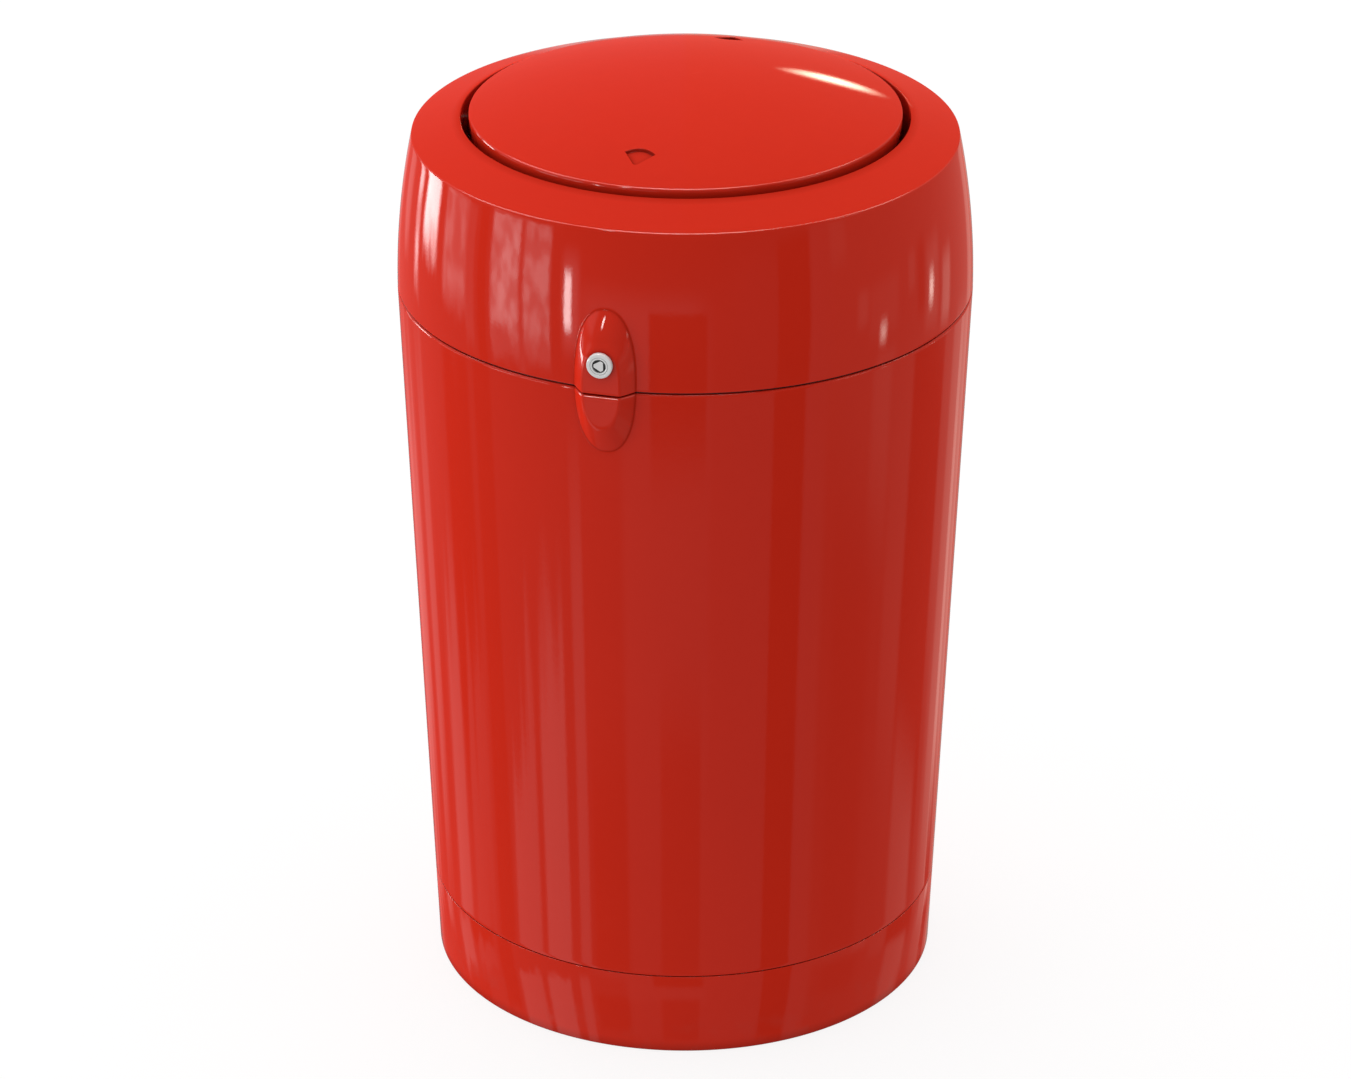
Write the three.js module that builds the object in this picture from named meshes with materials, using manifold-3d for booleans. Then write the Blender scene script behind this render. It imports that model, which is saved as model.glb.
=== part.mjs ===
// Free-standing round swing-lid litter bin with a lockable, rear-hinged hood.
// Millimetres, +Z up. The origin is the centre of the underside, on the ground.
// The lock faces -Y, the hood hinge is at +Y and the lid turns about an X shaft.

import * as THREE from 'three';
import { mergeVertices } from 'three/addons/utils/BufferGeometryUtils.js';
import { ConvexGeometry } from 'three/addons/geometries/ConvexGeometry.js';
import Module from 'manifold-3d';

const wasm = await Module();
wasm.setup();

// ---------------------------------------------------------- shared dimensions
const SEGMENTS = 40; // facets round the big turned shells
const FINE = 16; // facets round shafts, bushes and the lock
const COARSE = 8; // facets round small fasteners

const BASE_R = 224.7; // outer radius at the ground
const SEAM_R = 250.0; // outer radius at the hood seam
const SEAM_Z = 647.9; // height of the hood seam
const TAPER = (SEAM_R - BASE_R) / SEAM_Z; // radius gained per mm of height
const WALL = 5.0; // wall of the moulded shells
const SEAM_GAP = 1.4; // open line between body and hood
const BODY_TOP_Z = SEAM_Z - SEAM_GAP / 2;
const HOOD_BOTTOM_Z = SEAM_Z + SEAM_GAP / 2;

const PAD_FACE_Y = 262.0; // flat faces of the front and rear pads, from the bin's axis
const PIVOT_Z = 774.0; // lid pivot axis
const SHAFT_R = 5.0;
const LOCK_Z = 676.0; // lock axis
const HINGE_Y = 268.3; // hood hinge axis
const HINGE_Z = 648.0;

const HEAD_GAP = 0.3; // clearance under bolt heads, nuts and flanges
const SCREW_HOLE_R = 2.9; // holes for the small screws and keeper rivets
const HINGE_SCREW_X = 19;
const HINGE_SCREW_RISE = 24; // screws above and below the hinge axis
const KEEPER_RIVET_X = 10;
const KEEPER_RIVET_Z = 613;
const BRACKET_SCREW_Y = 16;

const SIDES = [['left', -1], ['right', 1]]; // name, sign of x
const ENDS = [['front', -1], ['rear', 1]]; // name, sign of y
const SIGNS = [-1, 1];

// ----------------------------------------------------------------- materials
const paint = (settings) => new THREE.MeshStandardMaterial(settings);
const RED = paint({ color: 0xc92b1c, roughness: 0.22, metalness: 0.0 });
const CONCRETE = paint({ color: 0x9b9892, roughness: 0.9, metalness: 0.0 });
const ZINC = paint({ color: 0xb9bdc0, roughness: 0.4, metalness: 1.0 });
const STEEL = paint({ color: 0xc4c6c8, roughness: 0.3, metalness: 1.0 });
const GALVANISED = paint({ color: 0xa9adb0, roughness: 0.5, metalness: 1.0 });
const DIECAST = paint({ color: 0xdcdcd8, roughness: 0.3, metalness: 0.9 });
const RUBBER = paint({ color: 0x1c1c1c, roughness: 0.8, metalness: 0.0 });
const NYLON = paint({ color: 0xe8e6df, roughness: 0.5, metalness: 0.0 });

// ---------------------------------------------------------- meshes and solids
// Welds a geometry to shared vertices, drops collapsed facets and turns the
// winding outwards.
function weld(geometry) {
  const bare = geometry.clone();
  for (const name of Object.keys(bare.attributes)) {
    if (name !== 'position') bare.deleteAttribute(name);
  }
  const merged = mergeVertices(bare, 1e-4);
  const index = merged.index.array;
  const vertex = (i) => new THREE.Vector3().fromBufferAttribute(merged.attributes.position, i);
  const kept = [];
  let volume = 0;
  for (let i = 0; i < index.length; i += 3) {
    const [first, second, third] = index.slice(i, i + 3);
    if (first === second || second === third || third === first) continue;
    kept.push(first, second, third);
    volume += vertex(first).dot(vertex(second).cross(vertex(third)));
  }
  if (volume < 0) {
    for (let i = 0; i < kept.length; i += 3) {
      [kept[i + 1], kept[i + 2]] = [kept[i + 2], kept[i + 1]];
    }
  }
  merged.setIndex(kept);
  return merged;
}

function solid(geometry) {
  const welded = weld(geometry);
  return new wasm.Manifold(
    new wasm.Mesh({
      numProp: 3,
      vertProperties: new Float32Array(welded.attributes.position.array),
      triVerts: new Uint32Array(welded.index.array),
    }),
  );
}

const cut = (part, ...tools) => tools.reduce((rest, tool) => rest.subtract(solid(tool)), part);

function toGeometry(manifold) {
  const { vertProperties, triVerts } = manifold.getMesh();
  const geometry = new THREE.BufferGeometry();
  const positions = new THREE.BufferAttribute(new Float32Array(vertProperties), 3);
  geometry.setAttribute('position', positions);
  geometry.setIndex(new THREE.BufferAttribute(new Uint32Array(triVerts), 1));
  return geometry;
}

// Adds one named piece, made from a geometry or from a cut solid.
function piece(group, name, shape, material, position = [0, 0, 0]) {
  const geometry = shape.isBufferGeometry ? weld(shape) : toGeometry(shape);
  geometry.computeVertexNormals();
  const mesh = new THREE.Mesh(geometry, material);
  mesh.name = name;
  mesh.position.set(...position);
  group.add(mesh);
}

// -------------------------------------------------------------- basic shapes
// Turns a profile of [radius, height] points about +Z. The profile closes on
// itself unless it starts and ends on the axis.
function turned(profile, segments = SEGMENTS) {
  const points = profile.map(([radius, z]) => new THREE.Vector2(radius, z));
  if (profile[0][0] > 0 || profile[profile.length - 1][0] > 0) points.push(points[0].clone());
  return new THREE.LatheGeometry(points, segments).rotateX(Math.PI / 2);
}
// The same, about an axis along X (profile height is x) or along -Y (height is -y).
const turnedX = (profile, segments = FINE) => turned(profile, segments).rotateY(Math.PI / 2);
const turnedFront = (profile, segments = FINE) => turned(profile, segments).rotateX(Math.PI / 2);

const rodProfile = (radius, from, to) => [[0, from], [radius, from], [radius, to], [0, to]];
const rodZ = (radius, z0, z1, x, y) =>
  turned(rodProfile(radius, z0, z1), COARSE).translate(x, y, 0);
const rodX = (radius, x0, x1, y, z, segments = FINE) =>
  turnedX(rodProfile(radius, x0, x1), segments).translate(0, y, z);
const rodY = (radius, y0, y1, x, z, segments = COARSE) =>
  turnedFront(rodProfile(radius, -y1, -y0), segments).translate(x, 0, z);

function box(x0, x1, y0, y1, z0, z1) {
  return new THREE.BoxGeometry(x1 - x0, y1 - y0, z1 - z0).translate(
    (x0 + x1) / 2,
    (y0 + y1) / 2,
    (z0 + z1) / 2,
  );
}

// The x range between two distances from the axis, on the side of the given sign.
const span = (sign, near, far) => (sign > 0 ? [near, far] : [-far, -near]);

const arc = (x, y, radius, start, step, count) =>
  Array.from({ length: count }, (_, i) => {
    const angle = start + i * step;
    return [x + radius * Math.cos(angle), y + radius * Math.sin(angle)];
  });

// Extrudes an outline along +Z. Each hole is [x, y, radius, facets].
function prism(points, holes, depth) {
  const toVectors = (list) => list.map(([x, y]) => new THREE.Vector2(x, y));
  const rim = toVectors(points);
  const shape = new THREE.Shape(THREE.ShapeUtils.isClockWise(rim) ? rim.reverse() : rim);
  for (const [x, y, radius, facets] of holes) {
    const ring = arc(x, y, radius, 0, (-2 * Math.PI) / facets, facets);
    shape.holes.push(new THREE.Path(toVectors(ring)));
  }
  return new THREE.ExtrudeGeometry(shape, { depth, bevelEnabled: false });
}

// Plates: a flat outline in the YZ plane made thick along X, or in the XZ plane
// made thick along Y.
const TO_X = new THREE.Matrix4().makeBasis(
  new THREE.Vector3(0, 1, 0),
  new THREE.Vector3(0, 0, 1),
  new THREE.Vector3(1, 0, 0),
);
const plateX = (points, holes, x0, x1) =>
  prism(points, holes, x1 - x0).applyMatrix4(TO_X).translate(x0, 0, 0);
const plateY = (points, holes, y0, y1) =>
  prism(points, holes, y1 - y0).rotateX(Math.PI / 2).translate(0, y1, 0);

// A fastener with its head above z = 0 and its shank below.
function fastener(headR, headHeight, shankR, shankLength) {
  return turned(
    [
      [0, -shankLength], [shankR, -shankLength], [shankR, 0],
      [headR, 0], [headR * 0.8, headHeight], [0, headHeight],
    ],
    COARSE,
  );
}
const hexNut = (acrossFlats, boreR, height) =>
  prism(arc(0, 0, acrossFlats / Math.sqrt(3), 0, Math.PI / 3, 6), [[0, 0, boreR, 12]], height);

// --------------------------------------------------------------------- groups
const bin = new THREE.Group();
bin.name = 'swing_lid_litter_bin';
function subgroup(name) {
  const group = new THREE.Group();
  group.name = name;
  bin.add(group);
  return group;
}
const body = subgroup('body_group');
const hood = subgroup('hood_group');
const lid = subgroup('lid_group');
const lock = subgroup('lock_group');
const liner = subgroup('liner_group');

// --------------------------------------------------------- plinth and ballast
const PLINTH_SEAM_Z = 78.1; // height of the joint between plinth and body
const PLINTH_GAP = 0.9; // open line between plinth and body
const PLINTH_TOP_Z = PLINTH_SEAM_Z - PLINTH_GAP / 2;
const BODY_BOTTOM_Z = PLINTH_SEAM_Z + PLINTH_GAP / 2;
const FLANGE_R = 206.0; // inner radius of the bolted flanges
const LOWER_FLANGE_Z = 72.2; // underside of the plinth flange
const UPPER_FLANGE_Z = 84.4; // top of the body flange
const BOLT_HOLE_R = 4.6;
const NUT_HEIGHT = 6.4;
const BOLT_SPOTS = arc(0, 0, 212.5, Math.PI / 4, Math.PI / 2, 4); // [x, y]

const outerR = (z) => BASE_R + TAPER * z;
const boltHoles = (z0, z1) => BOLT_SPOTS.map(([x, y]) => rodZ(BOLT_HOLE_R, z0, z1, x, y));

function basePlinth() {
  const dish = turned([
    [0, 0],
    [BASE_R - 0.9, 0],
    [outerR(1.3), 1.3],
    [outerR(PLINTH_TOP_Z - 1.4), PLINTH_TOP_Z - 1.4],
    [outerR(PLINTH_TOP_Z) - 1.1, PLINTH_TOP_Z],
    [FLANGE_R, PLINTH_TOP_Z],
    [FLANGE_R, LOWER_FLANGE_Z],
    [221.6, LOWER_FLANGE_Z],
    [219.2, 4.2],
    [0, 4.2],
  ]);
  return cut(solid(dish), ...boltHoles(70, 80));
}
piece(body, 'base_plinth', basePlinth(), RED);

const ballast = turned([[0, 4.6], [198, 4.6], [198, 56], [194, 60], [0, 60]], 32);
piece(body, 'ballast_slab', ballast, CONCRETE);

// ---------------------------------------------------------------- raised pads
// Oval pads across the seam, carrying the lock at the front and the hinge at
// the rear. Each is a hull of ovals [half width, half height, distance from axis].
const FRONT_PAD = [
  [14.6, 36.0, PAD_FACE_Y],
  [16.6, 39.5, PAD_FACE_Y - 1],
  [32.4, 76.0, 242.0],
];
const REAR_PAD = [
  [43.0, 49.0, PAD_FACE_Y],
  [45.0, 51.5, PAD_FACE_Y - 1],
  [64.0, 84.0, 238.0],
];
const FRONT_PAD_Z = 655.0;
const OVAL_POINTS = 24;
const OVAL_POWER = 2.3; // 2 is an ellipse, more is squarer

function raisedPad(sign, centreZ, ovals) {
  const stretch = (value) => Math.sign(value) * Math.abs(value) ** (2 / OVAL_POWER);
  const points = ovals.flatMap(([halfX, halfZ, distance]) =>
    arc(0, 0, 1, 0, (2 * Math.PI) / OVAL_POINTS, OVAL_POINTS).map(
      ([x, z]) =>
        new THREE.Vector3(halfX * stretch(x), sign * distance, centreZ + halfZ * stretch(z)),
    ),
  );
  return solid(new ConvexGeometry(points));
}

// Joins to a shell the part of both pads between two heights, clear of the interior.
function addPads(shell, z0, z1) {
  const interior = turned([
    [0, 60],
    [outerR(60) - WALL + 1.2, 60],
    [SEAM_R - WALL + 1.0, 648],
    [SEAM_R - WALL + 0.6, 700],
    [0, 700],
  ]);
  const band = solid(box(-400, 400, -400, 400, z0, z1));
  const pads = [raisedPad(-1, FRONT_PAD_Z, FRONT_PAD), raisedPad(1, HINGE_Z, REAR_PAD)];
  return pads.reduce((joined, pad) => joined.add(cut(pad, interior).intersect(band)), shell);
}

const hingeScrewHoles = (z) =>
  SIGNS.map((sign) => rodY(SCREW_HOLE_R, 254, 270, sign * HINGE_SCREW_X, z));

// ----------------------------------------------------------------- body shell
function bodyShell() {
  const upstandTopZ = BODY_TOP_Z + 8.2;
  const wall = turned([
    [FLANGE_R, BODY_BOTTOM_Z],
    [outerR(BODY_BOTTOM_Z) - 1.1, BODY_BOTTOM_Z],
    [outerR(BODY_BOTTOM_Z + 1.4), BODY_BOTTOM_Z + 1.4],
    [outerR(BODY_TOP_Z - 1.2), BODY_TOP_Z - 1.2],
    [outerR(BODY_TOP_Z) - 1.0, BODY_TOP_Z],
    [243.4, BODY_TOP_Z],
    [243.4, upstandTopZ],
    [240.4, upstandTopZ],
    [240.4, 641],
    [outerR(630) - WALL, 630],
    [outerR(92) - WALL, 92],
    [219.5, UPPER_FLANGE_Z],
    [FLANGE_R, UPPER_FLANGE_Z],
  ]);
  const keeperSeat = box(-21, 21, -246.5, -241.3, 594, 633);
  return cut(
    addPads(solid(wall), -10, BODY_TOP_Z).add(solid(keeperSeat)),
    // gap in the upstand behind the lock
    box(-34, 34, -243.2, -225, 634, 670),
    box(-34, 34, -250, -225, BODY_TOP_Z, 670),
    ...boltHoles(76, 90),
    ...SIGNS.map((sign) =>
      rodY(SCREW_HOLE_R, -248.5, -236, sign * KEEPER_RIVET_X, KEEPER_RIVET_Z),
    ),
    ...hingeScrewHoles(HINGE_Z - HINGE_SCREW_RISE),
  );
}
piece(body, 'body_shell', bodyShell(), RED);

BOLT_SPOTS.forEach(([x, y], i) => {
  const boltZ = UPPER_FLANGE_Z + HEAD_GAP;
  const nutZ = LOWER_FLANGE_Z - HEAD_GAP - NUT_HEIGHT;
  piece(body, `plinth_bolt_${i + 1}`, fastener(6.6, 5.4, 4.0, 24), ZINC, [x, y, boltZ]);
  piece(body, `plinth_nut_${i + 1}`, hexNut(12, 4.4, NUT_HEIGHT), ZINC, [x, y, nutZ]);
});

// Flat ring in the seam, between body and hood.
const hoodSeal = turned([
  [243.9, BODY_TOP_Z + 0.25],
  [248.2, BODY_TOP_Z + 0.25],
  [248.2, HOOD_BOTTOM_Z - 0.25],
  [243.9, HOOD_BOTTOM_Z - 0.25],
]);
piece(body, 'hood_seal', hoodSeal, RUBBER);

// ---------------------------------------------------------------- lock keeper
const KEEPER_Y = 238.2; // inner face of the keeper plate
const KEEPER_THICKNESS = 2.7;

// Plate with a side slot below a tab, as [x, z].
const KEEPER_OUTLINE = [
  [-18, 596], [18, 596], [18, 661], [-5, 661],
  [-5, 655], [11, 655], [11, 630], [-18, 630],
];
const keeper = plateY(
  KEEPER_OUTLINE,
  SIGNS.map((sign) => [sign * KEEPER_RIVET_X, KEEPER_RIVET_Z, SCREW_HOLE_R, COARSE]),
  -(KEEPER_Y + KEEPER_THICKNESS),
  -KEEPER_Y,
);
piece(body, 'lock_keeper', keeper, ZINC);

const KEEPER_RIVET = [[0, -1.8], [3.0, -1.8], [4.5, -0.3], [2.5, -0.3], [2.5, 9.4], [0, 9.4]];
for (const [side, sign] of SIDES) {
  const place = [sign * KEEPER_RIVET_X, -KEEPER_Y, KEEPER_RIVET_Z];
  piece(body, `keeper_rivet_${side}`, turnedFront(KEEPER_RIVET, COARSE), ZINC, place);
}

// ----------------------------------------------------------------- hood hinge
const BARREL_R = 6.0;
const HINGE_PIN_R = 3.0;
const LEAF_Y0 = PAD_FACE_Y + 0.3;
const LEAF_Y1 = PAD_FACE_Y + 2.8;
const LEAF_HALF = 28; // half width of both leaves
const LEAF_REACH = 35; // far edge of a leaf from the hinge axis
const LEAF_ROOT = 2; // leaf edge beside its own knuckle, from the axis
const LEAF_CLEAR = 6.6; // leaf edge opposite the other leaf's knuckle, from the axis
const TONGUE_HALF = 10; // half width of the upper leaf's middle knuckle
const NOTCH_HALF = 10.6; // half width of the gap between the lower knuckles

// A leaf from an [x, z] outline and the x ranges of its knuckles.
function hingeLeaf(points, screwZ, knuckles) {
  const holes = SIGNS.map((sign) => [sign * HINGE_SCREW_X, screwZ, SCREW_HOLE_R, COARSE]);
  const leaf = knuckles.reduce(
    (joined, [x0, x1]) => joined.add(solid(rodX(BARREL_R, x0, x1, HINGE_Y, HINGE_Z))),
    solid(plateY(points, holes, LEAF_Y0, LEAF_Y1)),
  );
  return cut(leaf, rodX(HINGE_PIN_R + 0.35, -60, 60, HINGE_Y, HINGE_Z));
}

const lowerLeaf = hingeLeaf(
  [
    [-LEAF_HALF, HINGE_Z - LEAF_REACH],
    [LEAF_HALF, HINGE_Z - LEAF_REACH],
    [LEAF_HALF, HINGE_Z - LEAF_ROOT],
    [NOTCH_HALF, HINGE_Z - LEAF_ROOT],
    [NOTCH_HALF, HINGE_Z - LEAF_CLEAR],
    [-NOTCH_HALF, HINGE_Z - LEAF_CLEAR],
    [-NOTCH_HALF, HINGE_Z - LEAF_ROOT],
    [-LEAF_HALF, HINGE_Z - LEAF_ROOT],
  ],
  HINGE_Z - HINGE_SCREW_RISE,
  [[-LEAF_HALF, -NOTCH_HALF], [NOTCH_HALF, LEAF_HALF]],
);
piece(body, 'hinge_leaf_lower', lowerLeaf, STEEL);

const hingePin = turnedX([
  [0, -30], [HINGE_PIN_R, -30], [HINGE_PIN_R, 28.4], [5, 28.4], [4.2, 31], [0, 31],
]);
piece(body, 'hinge_pin', hingePin, STEEL, [0, HINGE_Y, HINGE_Z]);

const upperLeaf = hingeLeaf(
  [
    [-LEAF_HALF, HINGE_Z + LEAF_REACH],
    [-LEAF_HALF, HINGE_Z + LEAF_CLEAR],
    [-TONGUE_HALF, HINGE_Z + LEAF_CLEAR],
    [-TONGUE_HALF, HINGE_Z + LEAF_ROOT],
    [TONGUE_HALF, HINGE_Z + LEAF_ROOT],
    [TONGUE_HALF, HINGE_Z + LEAF_CLEAR],
    [LEAF_HALF, HINGE_Z + LEAF_CLEAR],
    [LEAF_HALF, HINGE_Z + LEAF_REACH],
  ],
  HINGE_Z + HINGE_SCREW_RISE,
  [[-TONGUE_HALF, TONGUE_HALF]],
);
piece(hood, 'hinge_leaf_upper', upperLeaf, STEEL);

for (const [side, sign] of SIDES) {
  for (const [level, group, up] of [['lower', body, -1], ['upper', hood, 1]]) {
    const screw = fastener(4.6, 2.6, 2.5, 10).rotateX(-Math.PI / 2);
    const place = [sign * HINGE_SCREW_X, LEAF_Y1 + 0.2, HINGE_Z + up * HINGE_SCREW_RISE];
    piece(group, `hinge_screw_${level}_${side}`, screw, STEEL, place);
  }
}

// ----------------------------------------------------------------- hood shell
const RIM_R = 235.4; // outer rim of the hood
const RIM_Z = 785.05;
const HOOD_SIDE = [249.85, 249.78, 245.14, RIM_R]; // Bezier radii of the barrel-shaped side
const SIDE_STEPS = [0.22, 0.44, 0.64, 0.82, 0.94]; // stations from seam (0) to rim (1)
const OPENING_R = 192.9; // round opening in the hood
const OPENING_Z = 799.8;
const COLLAR_BOTTOM_Z = 762.0; // collar turned down round the opening
const COLLAR_OUTER_R = 197.5;
const TOP_WALL = 5.3; // height of the sloping top ring

function hoodSide(t, inset = 0) {
  const [start, low, high, end] = HOOD_SIDE;
  const u = 1 - t;
  const radius = u ** 3 * start + 3 * u * u * t * low + 3 * u * t * t * high + t ** 3 * end;
  return [radius - inset, SEAM_Z + (RIM_Z - SEAM_Z) * t];
}
// Height of the top ring, which slopes down from the opening to the rim.
const ringZ = (radius) =>
  OPENING_Z - ((OPENING_Z - RIM_Z) * (radius - OPENING_R)) / (RIM_R - OPENING_R);

function hoodShell() {
  const innerSteps = SIDE_STEPS.slice(0, 4).reverse();
  const wall = turned([
    [248.9, HOOD_BOTTOM_Z],
    [249.84, HOOD_BOTTOM_Z + 1.1],
    ...SIDE_STEPS.map((t) => hoodSide(t)),
    [235.75, 783.9],
    [234.9, 785.4],
    [233.4, ringZ(233.4)],
    [195.4, ringZ(195.4)],
    [193.6, 799.0],
    [OPENING_R, 797.2],
    [OPENING_R, COLLAR_BOTTOM_Z],
    [COLLAR_OUTER_R, COLLAR_BOTTOM_Z],
    [COLLAR_OUTER_R, ringZ(COLLAR_OUTER_R) - TOP_WALL],
    [229.4, ringZ(229.4) - TOP_WALL],
    ...innerSteps.map((t) => hoodSide(t, WALL)),
    [244.9, HOOD_BOTTOM_Z],
  ]);
  return cut(
    addPads(solid(wall), HOOD_BOTTOM_Z, 900),
    // bore for the lock and recess for its nut
    rodY(9.4, -275, -225, 0, LOCK_Z, FINE),
    rodY(17, -245.3, -225, 0, LOCK_Z, FINE),
    ...hingeScrewHoles(HINGE_Z + HINGE_SCREW_RISE),
    // shaft holes through the collar and blind screw holes beside them
    ...SIGNS.flatMap((sign) => [
      rodX(SHAFT_R + 1.4, ...span(sign, 188, 202), 0, PIVOT_Z),
      ...SIGNS.map((end) =>
        rodX(SCREW_HOLE_R, ...span(sign, 194.9, 202), end * BRACKET_SCREW_Y, PIVOT_Z, COARSE),
      ),
    ]),
  );
}
piece(hood, 'hood_shell', hoodShell(), RED);

// --------------------------------------------------------------- lid bearings
const BRACKET_X0 = 198.3;
const BRACKET_X1 = 214.0;
const BRACKET_FACE_X = BRACKET_X1 + HEAD_GAP; // seat of bush flanges and screw heads

// Bearing block outline, as [y, z].
const BRACKET_OUTLINE = [
  [-24, 760], [-20, 757], [20, 757], [24, 760],
  [24, 779], [16, 785.3], [-16, 785.3], [-24, 779],
];
const BRACKET_HOLES = [
  [0, PIVOT_Z, 8.4, FINE],
  ...SIGNS.map((end) => [end * BRACKET_SCREW_Y, PIVOT_Z, SCREW_HOLE_R, COARSE]),
];
// Flanged bush and shaft clip, as [radius, distance from the bin's axis].
const BUSH = [
  [SHAFT_R + 0.35, 198.5],
  [8.0, 198.5],
  [8.0, BRACKET_FACE_X],
  [10.5, BRACKET_FACE_X],
  [10.5, 216.3],
  [SHAFT_R + 0.35, 216.3],
];
const SHAFT_CLIP = [[SHAFT_R + 0.3, 216.8], [8.0, 216.8], [8.0, 218.2], [SHAFT_R + 0.3, 218.2]];

// A profile turned about the pivot axis, on the side of the given sign.
const onPivot = (profile, sign) =>
  turnedX(profile).translate(0, 0, PIVOT_Z).rotateZ(sign > 0 ? 0 : Math.PI);

for (const [side, sign] of SIDES) {
  const bracket = plateX(BRACKET_OUTLINE, BRACKET_HOLES, ...span(sign, BRACKET_X0, BRACKET_X1));
  piece(hood, `bearing_bracket_${side}`, bracket, ZINC);
  piece(hood, `bearing_bush_${side}`, onPivot(BUSH, sign), NYLON);
  for (const [end, endSign] of ENDS) {
    const screw = fastener(4.5, 3.0, 2.5, 19).rotateY((sign * Math.PI) / 2);
    const place = [sign * BRACKET_FACE_X, endSign * BRACKET_SCREW_Y, PIVOT_Z];
    piece(hood, `bracket_screw_${side}_${end}`, screw, ZINC, place);
  }
  piece(lid, `shaft_clip_${side}`, onPivot(SHAFT_CLIP, sign), STEEL);
}

// ------------------------------------------------------------------ swing lid
const LID_R = 186.0;
const LID_EDGE_Z = 804.0;
const LID_RISE = 31.0; // crown height of the dome above its edge
const LID_WALL = 4.0;
const LID_SKIRT_Z = 786.0; // bottom of the skirt
const LID_SKIRT_R = 184.6; // outer radius there
const DOME_R = (LID_R ** 2 + LID_RISE ** 2) / (2 * LID_RISE); // radius of the sphere
const SHAFT_HALF = 221.5; // half length of the shaft
const SHAFT_PIN_X = 162;
const SHAFT_PIN_HOLE_R = 2.4;

const domeZ = (radius) =>
  LID_EDGE_Z + LID_RISE - (DOME_R - Math.sqrt(DOME_R ** 2 - radius ** 2));

// Outer face of the lid from the crown down to the skirt, as [radius, z].
const LID_OUTER = [
  ...[0, 65, 115, 150, 174, 183.8].map((radius) => [radius, domeZ(radius)]),
  [185.4, 803.6],
  [LID_R, 801.8],
  [LID_SKIRT_R, LID_SKIRT_Z],
];
// The filled outer form of the lid, lowered by drop.
const filledLid = (drop) =>
  solid(
    turned([...LID_OUTER, [LID_SKIRT_R, 700], [0, 700]].map(([radius, z]) => [radius, z - drop])),
  );

// Three-cornered push mark near the front edge, as a prism through the dome.
function pushMark() {
  const mark = new THREE.Shape();
  mark.moveTo(-13, -141.5);
  mark.quadraticCurveTo(0, -129.8, 13, -141.5);
  mark.lineTo(2.4, -155.8);
  mark.quadraticCurveTo(0, -158.6, -2.4, -155.8);
  mark.closePath();
  const options = { depth: 40, bevelEnabled: false, curveSegments: 4 };
  return new THREE.ExtrudeGeometry(mark, options).translate(0, 0, 800);
}

function lidDome() {
  const shell = turned([
    ...LID_OUTER,
    [181.2, LID_SKIRT_Z],
    [182.0, 800.0],
    ...[175.5, 130, 70, 0].map((radius) => [radius, domeZ(radius) - LID_WALL]),
  ]);
  let dome = solid(shell);
  // blocks under the dome that carry the shaft
  for (const sign of SIGNS) {
    const block = solid(box(...span(sign, 150, 174), -12, 12, 762, 830));
    dome = dome.add(block.intersect(filledLid(1.2)));
  }
  dome = cut(dome, rodX(SHAFT_R + 0.3, -190, 190, 0, PIVOT_Z));
  for (const sign of SIGNS) {
    dome = cut(
      dome,
      // skirt clearance round the shaft, then the pin hole
      rodX(SHAFT_R + 1.2, ...span(sign, 176, 190), 0, PIVOT_Z),
      rodZ(SHAFT_PIN_HOLE_R, 755, 790, sign * SHAFT_PIN_X, 0),
    );
  }
  // push marks at the front and back edges, 2 deep
  for (const turn of [0, Math.PI]) {
    dome = dome.subtract(solid(pushMark().rotateZ(turn)).subtract(filledLid(2.0)));
  }
  return dome;
}
piece(lid, 'lid_dome', lidDome(), RED);

const shaft = cut(
  solid(rodX(SHAFT_R, -SHAFT_HALF, SHAFT_HALF, 0, PIVOT_Z)),
  ...SIGNS.map((sign) => rodZ(SHAFT_PIN_HOLE_R, 760, 790, sign * SHAFT_PIN_X, 0)),
);
piece(lid, 'pivot_shaft', shaft, STEEL);

// -------------------------------------------------------------- counterweight
const ARM_X0 = 118.0;
const ARM_X1 = 122.0;
const WEIGHT_HALF = 117.6; // half length of the bar
const WEIGHT_BOLT_Z = 727;
const WEIGHT_HOLE_R = 3.4;

// Arm and bar outlines, as [y, z].
const ARM_OUTLINE = [
  [-12, PIVOT_Z], [-9, 783], [0, 787], [9, 783], [12, PIVOT_Z],
  [20, 740], [20, 716], [17, 713], [-17, 713], [-20, 716], [-20, 740],
];
const ARM_HOLES = [
  [0, PIVOT_Z, SHAFT_R + 0.3, FINE],
  [0, WEIGHT_BOLT_Z, WEIGHT_HOLE_R, COARSE],
];
const WEIGHT_OUTLINE = [
  [-18, 719], [-15, 716], [15, 716], [18, 719],
  [18, 735], [15, 738], [-15, 738], [-18, 735],
];

for (const [side, sign] of SIDES) {
  const pin = rodZ(2.0, 759.5, 784.5, 0, 0);
  piece(lid, `shaft_pin_${side}`, pin, STEEL, [sign * SHAFT_PIN_X, 0, 0]);
  const arm = plateX(ARM_OUTLINE, ARM_HOLES, ...span(sign, ARM_X0, ARM_X1));
  piece(lid, `weight_arm_${side}`, arm, ZINC);
  const bolt = fastener(5.6, 3.8, 3.0, 20).rotateY((sign * Math.PI) / 2);
  const place = [sign * (ARM_X1 + HEAD_GAP), 0, WEIGHT_BOLT_Z];
  piece(lid, `weight_bolt_${side}`, bolt, ZINC, place);
}

const weight = cut(
  solid(plateX(WEIGHT_OUTLINE, [], -WEIGHT_HALF, WEIGHT_HALF)),
  ...SIGNS.map((sign) =>
    rodX(WEIGHT_HOLE_R, ...span(sign, 100, 120), 0, WEIGHT_BOLT_Z, COARSE),
  ),
);
piece(lid, 'counterweight_bar', weight, ZINC);

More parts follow.
